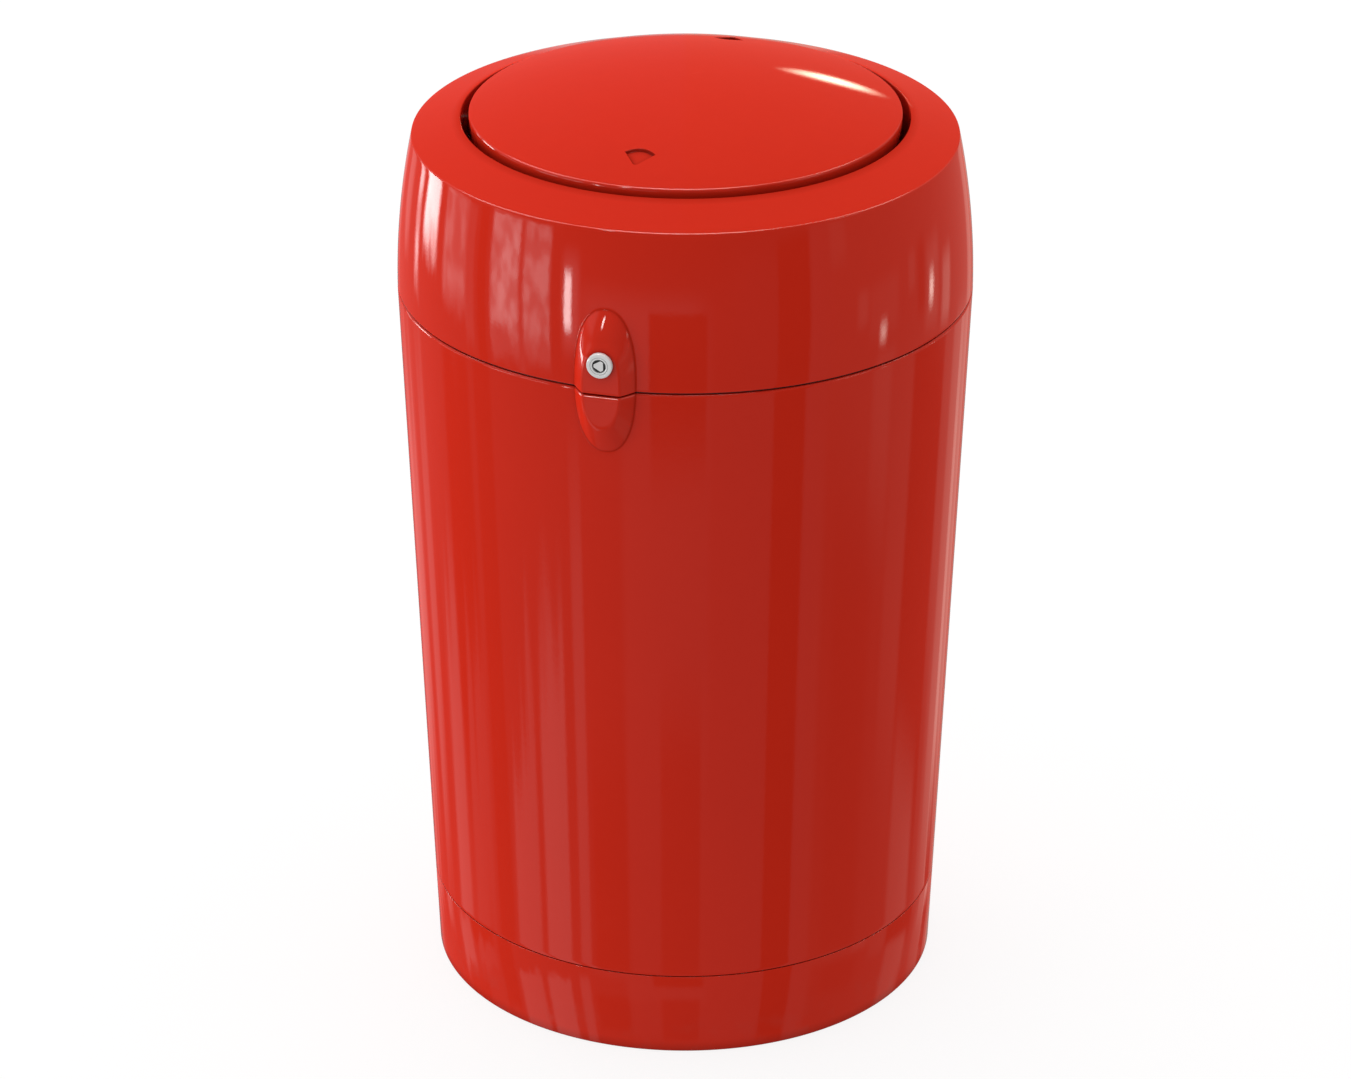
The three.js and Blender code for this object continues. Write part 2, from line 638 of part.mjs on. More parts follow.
// ----------------------------------------------------------------------- lock
// Turned parts are [radius, distance in front of the bin's axis].
const LOCK_FLANGE_R = 11.0;
const HOUSING = [
  [4.5, 236.7], [9.0, 236.7], [9.0, 262.4],
  [LOCK_FLANGE_R, 262.4], [LOCK_FLANGE_R, 265.2], [LOCK_FLANGE_R - 0.9, 266.2],
  [6.0, 266.2], [6.0, 243.4], [4.5, 243.4],
];
const DRIVER_CORE = [
  [0, 233.9], [4.1, 233.9], [4.1, 243.9], [5.5, 243.9], [5.5, 262.6], [0, 262.6],
];
const CAM_SCREW = [[0, 230.6], [6.0, 230.6], [7.2, 233.1], [2.0, 233.1], [2.0, 240.0], [0, 240.0]];
const DRIVER_CORNER_R = 4.9; // corners of the triangular head
const CORNER_HALF_ANGLE = 0.28; // each corner is cut off between two points
const CAM_TIP_X = -27;

piece(hood, 'lock_housing', turnedFront(HOUSING).translate(0, 0, LOCK_Z), DIECAST);
const lockNut = hexNut(24, 9.4, 4.4).rotateX(Math.PI / 2);
piece(hood, 'lock_nut', lockNut, ZINC, [0, -240.5, LOCK_Z]);

// Core with a triangular head at the front and a bore for the cam screw.
function lockDriver() {
  const corners = [0, 1, 2].flatMap((i) => {
    const start = Math.PI + (i * 2 * Math.PI) / 3 - CORNER_HALF_ANGLE;
    return arc(0, 0, DRIVER_CORNER_R, start, 2 * CORNER_HALF_ANGLE, 2);
  });
  const core = solid(turnedFront(DRIVER_CORE).translate(0, 0, LOCK_Z));
  const head = solid(plateY(corners, [], -265.9, -260.6).translate(0, 0, LOCK_Z));
  return cut(core.add(head), rodY(2.4, -242, -230, 0, LOCK_Z));
}
piece(lock, 'lock_driver', lockDriver(), DIECAST);

// Round-ended arm reaching to -X, with a peg at its tip.
function camHook() {
  const points = [
    ...arc(0, LOCK_Z, 8, -Math.PI / 2, Math.PI / 6, 7),
    ...arc(CAM_TIP_X, LOCK_Z, 6, Math.PI / 2, Math.PI / 4, 5),
  ];
  const arm = solid(plateY(points, [[0, LOCK_Z, 4.5, FINE]], -236.3, -233.5));
  return arm.add(solid(rodY(3.0, -241.4, -235.5, CAM_TIP_X, LOCK_Z, 12)));
}
piece(lock, 'cam_hook', camHook(), ZINC);
piece(lock, 'cam_screw', turnedFront(CAM_SCREW, COARSE), STEEL, [0, 0, LOCK_Z]);

// ---------------------------------------------------------------------- liner
const LINER_BOTTOM_Z = 62.0;
const LINER_TOP_Z = 618.0;
const LINER_FLOOR = 1.8;
const HANDLE_X0 = 189.9;
const HANDLE_X1 = 192.9;
const HANDLE_RIVET_Y = 44;
const HANDLE_RIVET_Z = 596;
const HANDLE_HOLE_R = 2.8;

// Arched strap handle, as [y, z].
const HANDLE_OUTLINE = [
  [-50, 585], [-38, 585], [-38, 624], [-24, 641], [24, 641], [38, 624],
  [38, 585], [50, 585], [50, 628], [30, 652], [-30, 652], [-50, 628],
];

function linerBucket() {
  const bucket = turned([
    [0, LINER_BOTTOM_Z],
    [196.6, LINER_BOTTOM_Z],
    [198.0, LINER_BOTTOM_Z + 1.5],
    [202.0, LINER_TOP_Z - 6.5],
    [206.0, LINER_TOP_Z - 6.5],
    [207.4, LINER_TOP_Z - 3.2],
    [206.0, LINER_TOP_Z],
    [200.4, LINER_TOP_Z],
    [196.3, LINER_BOTTOM_Z + LINER_FLOOR],
    [0, LINER_BOTTOM_Z + LINER_FLOOR],
  ]);
  const rivetHoles = SIGNS.flatMap((sign) =>
    SIGNS.map((end) => {
      const range = span(sign, 185, 205);
      return rodX(HANDLE_HOLE_R, ...range, end * HANDLE_RIVET_Y, HANDLE_RIVET_Z, COARSE);
    }),
  );
  return cut(solid(bucket), ...rivetHoles);
}
piece(liner, 'liner_bucket', linerBucket(), GALVANISED);

for (const [side, sign] of SIDES) {
  const holes = SIGNS.map((end) => [
    end * HANDLE_RIVET_Y, HANDLE_RIVET_Z, HANDLE_HOLE_R, COARSE,
  ]);
  const handle = plateX(HANDLE_OUTLINE, holes, ...span(sign, HANDLE_X0, HANDLE_X1));
  piece(liner, `liner_handle_${side}`, handle, ZINC);
  for (const [end, endSign] of ENDS) {
    const rivet = fastener(4.4, 1.6, 2.4, 9.6).rotateY((-sign * Math.PI) / 2);
    const place = [sign * (HANDLE_X0 - HEAD_GAP), endSign * HANDLE_RIVET_Y, HANDLE_RIVET_Z];
    piece(liner, `handle_rivet_${side}_${end}`, rivet, ZINC, place);
  }
}

export default bin;
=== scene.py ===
"""A round bin of red moulded glass fibre: plinth, body, hinged hood and domed swing lid.

Sizes are in mm and meshes are stored in metres. The axis is Z and the plinth stands on z = 0.
The front, with the lock, faces -Y. The hood hinge is at +Y, and the lid swings about a shaft
along X. "Left" parts are on the -X side.
"""

import math
from collections import namedtuple

import bmesh
import bpy
import numpy as np
from mathutils import Matrix, Vector


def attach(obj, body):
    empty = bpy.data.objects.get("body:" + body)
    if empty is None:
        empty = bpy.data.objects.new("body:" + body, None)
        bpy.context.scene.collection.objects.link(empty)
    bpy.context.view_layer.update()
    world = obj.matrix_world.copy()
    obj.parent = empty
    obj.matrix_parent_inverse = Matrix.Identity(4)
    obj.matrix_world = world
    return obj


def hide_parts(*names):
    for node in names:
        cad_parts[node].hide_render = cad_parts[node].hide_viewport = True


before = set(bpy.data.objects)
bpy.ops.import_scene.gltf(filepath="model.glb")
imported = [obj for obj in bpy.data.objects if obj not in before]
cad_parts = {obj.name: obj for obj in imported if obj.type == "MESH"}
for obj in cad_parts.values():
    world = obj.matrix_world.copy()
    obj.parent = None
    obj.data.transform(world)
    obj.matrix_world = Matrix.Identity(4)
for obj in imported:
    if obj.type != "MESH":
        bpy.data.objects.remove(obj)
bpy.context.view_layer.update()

MM = 0.001
TAU = 2 * math.pi
SIDES = (("left", -1), ("right", 1))
scene = bpy.context.scene

# ---- driving dimensions
BASE_R, SEAM_R, SEAM_Z = 224.7, 250.0, 647.9
TAPER = (SEAM_R - BASE_R) / SEAM_Z
WALL = 5.0
PLINTH_TOP, BODY_BOTTOM = 77.65, 78.55
PLINTH_INNER_R = 206.0
SHOULDER_Z, HOOD_BOTTOM = 647.2, 648.6
RIM_R, RIM_Z = 235.4, 785.05
OPENING_R, OPENING_Z = 192.9, 799.8
LID_EDGE_Z, LID_RISE, LID_R = 804.0, 31.0, 186.0
DOME_R = (LID_R**2 + LID_RISE**2) / (2 * LID_RISE)
PIVOT_Z, LOCK_Z = 774.0, 676.0
HINGE_Y, HINGE_Z = 268.3, 648.0
PIVOT, LOCK, HINGE = (0, 0, PIVOT_Z), (0, 0, LOCK_Z), (0, HINGE_Y, HINGE_Z)
SMALL_HOLE_R = 2.9  # for rivets and M5 screws


def outer_r(z):
    return BASE_R + TAPER * np.asarray(z, float)


def hood_r(z):
    t = (np.asarray(z, float) - SEAM_Z) / (RIM_Z - SEAM_Z)
    u = 1 - t
    return u**3 * 249.85 + 3 * u * u * t * 249.78 + 3 * u * t * t * 245.14 + t**3 * RIM_R


def ring_z(radius):
    """Height of the sloping ring between the hood's rim and its opening."""
    return OPENING_Z - (OPENING_Z - RIM_Z) * (radius - OPENING_R) / (RIM_R - OPENING_R)


def dome_z(radius):
    radius = np.asarray(radius, float)
    return LID_EDGE_Z + LID_RISE - (DOME_R - np.sqrt(DOME_R**2 - radius**2))


# ---- materials
MATERIALS = {}


def rgb(red, green, blue):
    return (red, green, blue, 1.0)


class Shader:
    """Lays out the nodes of a material or world."""

    def __init__(self, owner):
        owner.use_nodes = True
        self.tree = owner.node_tree
        self.tree.nodes.clear()

    def node(self, kind, inputs=None, **props):
        node = self.tree.nodes.new("ShaderNode" + kind)
        for key, value in props.items():
            setattr(node, key, value)
        self.fill(node, inputs or {})
        return node

    def fill(self, node, inputs):
        for key, value in inputs.items():
            if isinstance(value, bpy.types.NodeSocket):
                self.tree.links.new(value, node.inputs[key])
            else:
                node.inputs[key].default_value = value

    def math(self, operation, first, second=0.0):
        return self.node("Math", {0: first, 1: second}, operation=operation).outputs[0]

    def mul(self, first, second):
        return self.math("MULTIPLY", first, second)

    def add(self, first, second):
        return self.math("ADD", first, second)

    def muladd(self, first, second, third):
        inputs = {0: first, 1: second, 2: third}
        return self.node("Math", inputs, operation="MULTIPLY_ADD").outputs[0]

    def ramp(self, value, over=(0.3, 0.7), to=(0.0, 1.0), kind="LINEAR"):
        inputs = {"Value": value, "From Min": over[0], "From Max": over[1],
                  "To Min": to[0], "To Max": to[1]}
        node = self.node("MapRange", inputs, interpolation_type=kind, clamp=True)
        return node.outputs["Result"]

    def mix(self, share, first, second):
        return self.node("Mix", {0: share, 6: first, 7: second}, data_type="RGBA").outputs[2]

    def mixf(self, share, first, second):
        return self.node("Mix", {0: share, 2: first, 3: second}, data_type="FLOAT").outputs[0]

    def tint(self, colour, mask, towards, amount):
        return self.mix(self.mul(mask, amount), colour, towards)

    def scale(self, colour, factor):
        node = self.node("VectorMath", {0: colour, "Scale": factor}, operation="SCALE")
        return node.outputs["Vector"]

    def noise(self, vector, scale, detail=2.0, rough=0.5):
        inputs = {"Vector": vector, "Scale": scale, "Detail": detail, "Roughness": rough}
        return self.node("TexNoise", inputs).outputs["Fac"]

    def stretch(self, vector, scale):
        return self.node("Mapping", {"Vector": vector, "Scale": scale}).outputs[0]

    def geometry(self, output):
        return self.node("NewGeometry").outputs[output]

    def xyz(self, vector):
        return self.node("SeparateXYZ", {0: vector}).outputs

    def join_xyz(self, x, y, z):
        return self.node("CombineXYZ", {0: x, 1: y, 2: z}).outputs[0]

    def join_rgb(self, red, green, blue):
        return self.node("CombineColor", {0: red, 1: green, 2: blue}).outputs[0]

    def openness(self, distance, samples):
        node = self.node("AmbientOcclusion", {"Distance": distance}, samples=samples)
        return node.outputs["AO"]

    def bump(self, height, distance, normal=None):
        inputs = {"Height": height, "Distance": distance, "Strength": 1.0}
        if normal is not None:
            inputs["Normal"] = normal
        return self.node("Bump", inputs).outputs[0]

    def background(self, colour, strength):
        return self.node("Background", {"Color": colour, "Strength": strength}).outputs[0]

    def mix_shader(self, share, first, second):
        return self.node("MixShader", {0: share, 1: first, 2: second}).outputs[0]


def new_material(name):
    mat = bpy.data.materials.new(name)
    MATERIALS[name] = mat
    net = Shader(mat)
    coord = net.node("TexCoord").outputs["Object"]
    bsdf = net.node("BsdfPrincipled")
    net.node("OutputMaterial", {"Surface": bsdf.outputs[0]})
    return net, coord, bsdf


def red_moulding():
    """Moulded glass-fibre shell: deep red pigment under a glossy clear layer."""
    net, coord, bsdf = new_material("red_moulding")
    broad = net.noise(coord, scale=3.0, detail=3.0)
    fine = net.noise(coord, scale=90.0)
    streak = net.noise(net.stretch(coord, scale=(9.0, 9.0, 0.8)), scale=2.0, detail=3.0)
    colour = net.mix(net.ramp(broad), rgb(0.708, 0.0262, 0.0100), rgb(0.732, 0.0278, 0.0108))
    speckle = net.ramp(fine, over=(0.35, 0.65), to=(0.0, 0.10))
    colour = net.mix(speckle, colour, rgb(0.665, 0.022, 0.009))
    streak = net.ramp(streak, over=(0.55, 0.75), to=(0.0, 0.05))
    colour = net.mix(streak, colour, rgb(0.60, 0.035, 0.020))
    # worn edges, painted shade in concave creases, and scuffs near the ground
    point = net.geometry("Pointiness")
    worn = net.mul(net.ramp(point, over=(0.54, 0.62)),
                   net.ramp(net.noise(coord, scale=40.0, detail=4.0), over=(0.45, 0.7)))
    colour = net.tint(colour, worn, rgb(0.86, 0.13, 0.09), amount=0.22)
    # painted shade: concave creases darkened
    crease = net.ramp(point, over=(0.46, 0.40))
    colour = net.tint(colour, crease, rgb(0.20, 0.006, 0.004), amount=0.70)
    scuff = net.noise(coord, scale=55.0, detail=5.0, rough=0.6)
    low = net.mul(net.ramp(net.xyz(coord)[2], over=(0.045, 0.0)),
                  net.ramp(scuff, over=(0.5, 0.75)))
    colour = net.tint(colour, low, rgb(0.42, 0.10, 0.075), amount=0.12)
    # painted shade in gaps and on outlines; colour lifted at grazing angles where the coat
    # takes light away
    shade = net.ramp(net.openness(distance=0.011, samples=5), over=(0.15, 0.95), to=(0.40, 1.0))
    facing = net.node("Fresnel", {"IOR": 1.5}).outputs[0]
    passed = net.math("MAXIMUM", net.math("SUBTRACT", 1.0, facing), 0.42)
    gain = net.math("DIVIDE", 1.0, passed)
    # painted shade stored per vertex: pad outlines, the opening's lip and the lid marks
    edge = net.node("Attribute", attribute_name="outline").outputs["Fac"]
    shade = net.mul(shade, net.ramp(edge, over=(0.0, 1.0), to=(1.0, 0.40)))
    gloss = net.noise(coord, scale=14.0, detail=4.0, rough=0.6)
    gloss = net.ramp(gloss, over=(0.3, 0.75), to=(0.035, 0.065))
    gloss = net.add(gloss, net.mul(low, 0.16))
    gloss = net.add(gloss, net.mul(worn, 0.08))
    wave = net.noise(net.stretch(coord, scale=(1.0, 1.0, 0.45)), scale=7.0, detail=1.0)
    peel = net.noise(coord, scale=300.0, detail=1.0)
    coat_normal = net.bump(wave, distance=0.00012)
    net.fill(bsdf, {
        "Base Color": net.scale(colour, net.mul(gain, shade)),
        "Roughness": net.ramp(broad, to=(0.42, 0.50)),
        "Specular IOR Level": 0.0,
        "Coat Weight": net.ramp(edge, over=(0.05, 0.5), to=(1.0, 0.12)),
        "Coat IOR": 1.5,
        "Coat Roughness": gloss,
        "Coat Normal": net.bump(peel, distance=0.000012, normal=coat_normal),
        "Normal": net.bump(fine, distance=0.00004),
    })


def metal(name, dark, light, rough, grain_scale, metallic=1.0, grain=(1.0, 1.0, 1.0),
          depth=0.00003, worn=rgb(0.9, 0.9, 0.9), dull=rgb(0.2, 0.19, 0.18),
          spangle=0.0, hollow=0.45):
    """Grained metal with worn edges, stains, and painted shade in creases and tight corners.
    Spangle is the scale of the zinc crystals, if any; hollow is how much colour the painted
    shade leaves in tight corners."""
    net, coord, bsdf = new_material(name)
    broad = net.noise(coord, scale=22.0, detail=3.0)
    lines = net.noise(net.stretch(coord, grain), grain_scale, detail=3.0)
    colour = net.mix(net.ramp(broad), dark, light)
    if spangle:
        cells = net.node("TexVoronoi", {"Vector": coord, "Scale": spangle, "Randomness": 1.0})
        cell = net.node("SeparateColor", {0: cells.outputs["Color"]}).outputs[0]
        colour = net.mix(net.ramp(cell, over=(0.0, 1.0), to=(0.0, 0.75)), colour, worn)
    point = net.geometry("Pointiness")
    edge = net.mul(net.ramp(point, over=(0.53, 0.60)),
                   net.ramp(net.noise(coord, scale=160.0, detail=3.0)))
    colour = net.tint(colour, edge, worn, amount=0.6)
    # painted shade in concave creases, towards the dull colour
    colour = net.tint(colour, net.ramp(point, over=(0.47, 0.40)), dull, amount=0.5)
    stain = net.noise(coord, scale=9.0, detail=5.0, rough=0.6)
    stain = net.ramp(stain, over=(0.56, 0.72))
    colour = net.tint(colour, stain, dull, amount=0.25)
    # painted shade in tight corners
    shade = net.ramp(net.openness(distance=0.005, samples=4), over=(0.15, 0.9),
                     to=(hollow, 1.0))
    roughness = net.ramp(lines, to=rough)
    if spangle:
        roughness = net.add(roughness, net.ramp(cell, over=(0.0, 1.0), to=(-0.06, 0.08)))
    normal = net.bump(lines, depth)
    net.fill(bsdf, {
        "Base Color": net.scale(colour, shade),
        "Metallic": metallic,
        "Roughness": net.add(roughness, net.mul(stain, 0.12)),
        "Normal": net.bump(net.noise(coord, scale=30.0), distance=0.00006, normal=normal),
    })


def concrete():
    """Grey cast concrete with sand grain and small pits."""
    net, coord, bsdf = new_material("concrete")
    broad = net.noise(coord, scale=14.0, detail=6.0, rough=0.65)
    sand = net.noise(coord, scale=420.0, detail=3.0)
    pits = net.node("TexVoronoi", {"Vector": coord, "Scale": 95.0}).outputs["Distance"]
    # the pits: sunk by the bump, and darkened as painted shade
    hole = net.ramp(pits, over=(0.12, 0.03))
    colour = net.mix(net.ramp(broad), rgb(0.27, 0.26, 0.24), rgb(0.42, 0.41, 0.385))
    grit = net.ramp(sand, over=(0.35, 0.65), to=(0.0, 0.35))
    colour = net.mix(grit, colour, rgb(0.52, 0.50, 0.46))
    pit_depth = 2.0  # against the height of the sand grain
    height = net.math("SUBTRACT", sand, net.mul(hole, pit_depth))
    net.fill(bsdf, {
        "Base Color": net.tint(colour, hole, rgb(0.12, 0.115, 0.11), amount=0.6),
        "Roughness": net.ramp(sand, over=(0.2, 0.8), to=(0.82, 0.96)),
        "Normal": net.bump(height, distance=0.0007),
    })


def soft_plastic(name, dark, light, rough, grain_scale, depth):
    """Dull plastic or rubber with fine grain and dust on upward faces."""
    net, coord, bsdf = new_material(name)
    broad = net.noise(coord, scale=30.0, detail=4.0)
    grain = net.noise(coord, grain_scale)
    colour = net.mix(net.ramp(broad), dark, light)
    upward = net.xyz(net.geometry("Normal"))[2]
    dusty = net.mul(net.ramp(upward, over=(0.3, 1.0)),
                    net.ramp(net.noise(coord, scale=70.0, detail=5.0), over=(0.4, 0.7)))
    net.fill(bsdf, {
        "Base Color": net.tint(colour, dusty, rgb(0.45, 0.42, 0.38), amount=0.08),
        "Roughness": net.ramp(grain, to=rough),
        "Normal": net.bump(grain, depth),
    })


BRUSHED = (1.0, 9.0, 9.0)  # stretches the grain along X

red_moulding()
metal("zinc_plated", rgb(0.60, 0.61, 0.62), rgb(0.68, 0.68, 0.66), rough=(0.28, 0.42),
      grain_scale=180.0)
metal("stainless", rgb(0.66, 0.66, 0.67), rgb(0.72, 0.72, 0.72), rough=(0.20, 0.34),
      grain=BRUSHED, grain_scale=90.0, depth=0.00005)
metal("galvanised", rgb(0.46, 0.48, 0.50), rgb(0.54, 0.56, 0.57), rough=(0.34, 0.48),
      grain_scale=60.0, worn=rgb(0.70, 0.72, 0.74), spangle=70.0)
# the lock gets strong painted shade in its recesses
metal("lock_metal", rgb(0.93, 0.93, 0.92), rgb(0.97, 0.97, 0.96), rough=(0.18, 0.26),
      metallic=0.06, grain_scale=400.0, depth=0.000006, worn=rgb(0.97, 0.97, 0.96),
      dull=rgb(0.50, 0.50, 0.49), hollow=0.08)
# near-black stainless: painted shade for the pivot shaft, seen in the dark gap round the lid
metal("stainless_painted_shade", rgb(0.030, 0.026, 0.025), rgb(0.045, 0.040, 0.038),
      rough=(0.42, 0.55), grain=BRUSHED, grain_scale=90.0, depth=0.00004,
      worn=rgb(0.12, 0.11, 0.11), dull=rgb(0.02, 0.018, 0.016))
soft_plastic("black_rubber", rgb(0.016, 0.016, 0.016), rgb(0.026, 0.025, 0.024),
             rough=(0.6, 0.8), grain_scale=500.0, depth=0.00006)
soft_plastic("white_nylon", rgb(0.78, 0.76, 0.70), rgb(0.83, 0.81, 0.76),
             rough=(0.38, 0.52), grain_scale=350.0, depth=0.00003)
concrete()


# ---- shapes: a part is (vertices, faces) in mm
def soften(points, radius, steps=3, closed=True):
    """Rounds the corners of a polyline. A point may carry its own radius as a third number."""
    corners = [np.array(p[:2], float) for p in points]
    radii = [p[2] if len(p) > 2 else radius for p in points]
    count, out = len(corners), []
    for i, corner in enumerate(corners):
        if (not closed and i in (0, count - 1)) or radii[i] <= 0:
            out.append(corner)
            continue
        back, ahead = corners[i - 1] - corner, corners[(i + 1) % count] - corner
        back_len, ahead_len = np.linalg.norm(back), np.linalg.norm(ahead)
        back, ahead = back / back_len, ahead / ahead_len
        angle = math.acos(max(-1.0, min(1.0, float(back @ ahead))))
        if angle > math.radians(172):
            out.append(corner)
            continue
        trim = min(radii[i] / math.tan(angle / 2), 0.46 * back_len, 0.46 * ahead_len)
        start, end = corner + back * trim, corner + ahead * trim
        for k in range(steps + 1):
            t = k / steps
            out.append((1 - t) ** 2 * start + 2 * t * (1 - t) * corner + t * t * end)
    return [(float(p[0]), float(p[1])) for p in out]


def curve(start, control, end, steps):
    """Points on a quadratic curve."""
    start, control, end = np.array(start), np.array(control), np.array(end)
    return [tuple((1 - t) ** 2 * start + 2 * t * (1 - t) * control + t * t * end)
            for t in np.linspace(0, 1, steps + 1)]


def arc(radius, start, end, count, centre=(0.0, 0.0)):
    """Points on an arc between two angles in degrees."""
    return [(centre[0] + radius * math.cos(a), centre[1] + radius * math.sin(a))
            for a in np.linspace(math.radians(start), math.radians(end), count)]


def rounded_box(half_width, low, high, radius, steps=4):
    corners = [(-half_width, low), (half_width, low), (half_width, high), (-half_width, high)]
    return soften(corners, radius, steps)


def stand(verts, axis, centre):
    """Turns points made round Z to another axis. For axis Y, heights run along -Y."""
    if axis == "X":
        verts = verts[:, [2, 0, 1]]
    elif axis == "Y":
        verts = np.stack([verts[:, 0], -verts[:, 2], verts[:, 1]], -1)
    return verts + np.array(centre)


def lathe(profile, segs, axis="Z", centre=(0.0, 0.0, 0.0)):
    """Turns (radius, height) points round an axis; closes on itself unless it ends on the axis."""
    verts, rows = [], []
    for radius, height in profile:
        first = len(verts)
        if radius < 1e-6:
            rows.append([first])
            verts.append((0.0, 0.0, height))
        else:
            rows.append(list(range(first, first + segs)))
            verts += [(radius * math.cos(TAU * i / segs), radius * math.sin(TAU * i / segs),
                       height) for i in range(segs)]
    pairs = list(zip(rows[:-1], rows[1:]))
    if len(rows[0]) > 1 and len(rows[-1]) > 1:
        pairs.append((rows[-1], rows[0]))
    faces = []
    for row, after in pairs:
        for i in range(segs):
            j = (i + 1) % segs
            if len(row) == 1:
                faces.append((row[0], after[i], after[j]))
            elif len(after) == 1:
                faces.append((row[i], after[0], row[j]))
            else:
                faces.append((row[i], row[j], after[j], after[i]))
    return stand(np.array(verts), axis, centre), faces


def turned(points, segs, radius=0.4, steps=3, axis="Z", centre=(0.0, 0.0, 0.0)):
    """A lathe part from a (radius, height, optional corner radius) outline."""
    closed = points[0][0] > 1e-6 or points[-1][0] > 1e-6
    return lathe(soften(points, radius, steps, closed), segs, axis, centre)


def prism(outline, axis, start, end):
    """A thick flat outline. Axis X: outline is (y, z); axis Y: (x, z); axis Z: (x, y)."""
    points = np.array(outline, float)
    n = len(points)
    column = "XYZ".index(axis)
    verts = np.concatenate([np.insert(points, column, depth, axis=1) for depth in (start, end)])
    faces = [tuple(range(n)), tuple(range(2 * n - 1, n - 1, -1))]
    faces += [(i, (i + 1) % n, n + (i + 1) % n, n + i) for i in range(n)]
    return verts, faces


def block(x0, x1, y0, y1, z0, z1):
    return prism([(x0, y0), (x1, y0), (x1, y1), (x0, y1)], "Z", z0, z1)


def rod(radius, start, end, axis, centre, segs=32):
    """A plain cylinder, used for cutting holes. For axis Y, start and end run along -Y."""
    return lathe([(0, start), (radius, start), (radius, end), (0, end)], segs, axis, centre)


def span(sign, near, far):
    """Limits along X of something between two distances from the middle, in rising order."""
    return sorted((sign * near, sign * far))


def hex_block(across_flats, z0, z1, both_ends=False):
    """Hexagonal head or nut with a 30 degree turned chamfer on its corners."""
    segs = 48
    slope = 0.577
    inner = across_flats / 2 * 0.96
    verts = [(0.0, 0.0, z1)]
    rings = ((z1, None), (z1, slope), (z0, -slope if both_ends else 0.0), (z0, None))
    for level, fall in rings:
        for i in range(segs):
            angle = TAU * i / segs
            outer = across_flats / 2 / math.cos(angle % (TAU / 6) - TAU / 12)
            radius = inner if fall is None else outer
            height = level - (fall or 0.0) * max(0.0, outer - inner)
            verts.append((radius * math.cos(angle), radius * math.sin(angle), height))
    verts.append((0.0, 0.0, z0))
    faces = []
    for i in range(segs):
        edges = [(1 + k * segs + i, 1 + k * segs + (i + 1) % segs) for k in range(4)]
        faces.append((0, *edges[0]))
        faces += [(up[0], low[0], low[1], up[1]) for up, low in zip(edges, edges[1:])]
        faces.append((edges[3][0], len(verts) - 1, edges[3][1]))
    return np.array(verts), faces


def place(part, matrix):
    """Moves a part by a 4x4 matrix in mm."""
    moved = np.array(matrix, float)
    return np.asarray(part[0], float) @ moved[:3, :3].T + moved[:3, 3], part[1]


def towards(direction, at):
    """Matrix that stands a part made along +Z with its top towards a direction, at a point."""
    turn = Vector(direction).to_track_quat("Z", "X")
    return Matrix.Translation(Vector(at)) @ turn.to_matrix().to_4x4()


def mesh_of(name, parts):
    verts, faces, base = [], [], 0
    for part_verts, part_faces in parts:
        verts.append(np.asarray(part_verts, float))
        faces += [tuple(i + base for i in face) for face in part_faces]
        base += len(part_verts)
    mesh = bpy.data.meshes.new(name)
    mesh.from_pydata((np.concatenate(verts) * MM).tolist(), [], faces)
    work = bmesh.new()
    work.from_mesh(mesh)
    bmesh.ops.recalc_face_normals(work, faces=work.faces)
    work.to_mesh(mesh)
    work.free()
    mesh.update()
    return mesh


def link(name, mesh):
    obj = bpy.data.objects.new(name, mesh)
    scene.collection.objects.link(obj)
    return obj


def take_modified(obj):
    """Returns the mesh the modifiers make, and removes the modifiers."""
    depsgraph = bpy.context.evaluated_depsgraph_get()
    mesh = bpy.data.meshes.new_from_object(obj.evaluated_get(depsgraph))
    obj.modifiers.clear()
    return mesh


def swap_mesh(obj, mesh):
    old = obj.data
    obj.data = mesh
    bpy.data.meshes.remove(old)


def combine(obj, part, operation):
    """Cuts away or adds a closed part. The exact solver steps in if the quick one does nothing."""
    tool = link("tool", mesh_of("tool", [part]))
    before = len(obj.data.polygons)
    for solver in ("MANIFOLD", "EXACT"):
        mod = obj.modifiers.new("combine", "BOOLEAN")
        mod.object = tool
        mod.operation = operation
        mod.solver = solver
        mesh = take_modified(obj)
        if len(mesh.polygons) > 3 and len(mesh.polygons) != before:
            swap_mesh(obj, mesh)
            break
        bpy.data.meshes.remove(mesh)
    tool_mesh = tool.data
    bpy.data.objects.remove(tool)
    bpy.data.meshes.remove(tool_mesh)


def piece(node, body, material, parts, add=(), cut=(), bevel=0.0, sharp=35.0):
    """Makes one visible piece from closed parts, riding a body and standing for a CAD node.
    Its slot has the material's name."""
    obj = link("v_" + node, mesh_of("v_" + node, parts))
    if bevel:
        mod = obj.modifiers.new("bevel", "BEVEL")
        mod.width = bevel * MM
        mod.segments = 2
        mod.limit_method = "ANGLE"
        mod.angle_limit = math.radians(30)
        mod.use_clamp_overlap = True
        swap_mesh(obj, take_modified(obj))
    for part in add:
        combine(obj, part, "UNION")
    for part in cut:
        combine(obj, part, "DIFFERENCE")
    mesh = obj.data
    mesh.polygons.foreach_set("use_smooth", [True] * len(mesh.polygons))
    mesh.set_sharp_from_angle(angle=math.radians(sharp))
    mesh.materials.clear()
    mesh.materials.append(MATERIALS[material])
    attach(obj, body)
    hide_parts(node)
    return obj


def points_of(obj):
    """Vertex positions in mm."""
    values = np.empty(len(obj.data.vertices) * 3, np.float32)
    obj.data.vertices.foreach_get("co", values)
    return values.reshape(-1, 3).astype(float) / MM


def set_painted_shade(obj, values):
    """Stores how far painted shade darkens the red material at each vertex."""
    layer = obj.data.attributes.new("outline", "FLOAT", "POINT")
    layer.data.foreach_set("value", values.astype(np.float32))
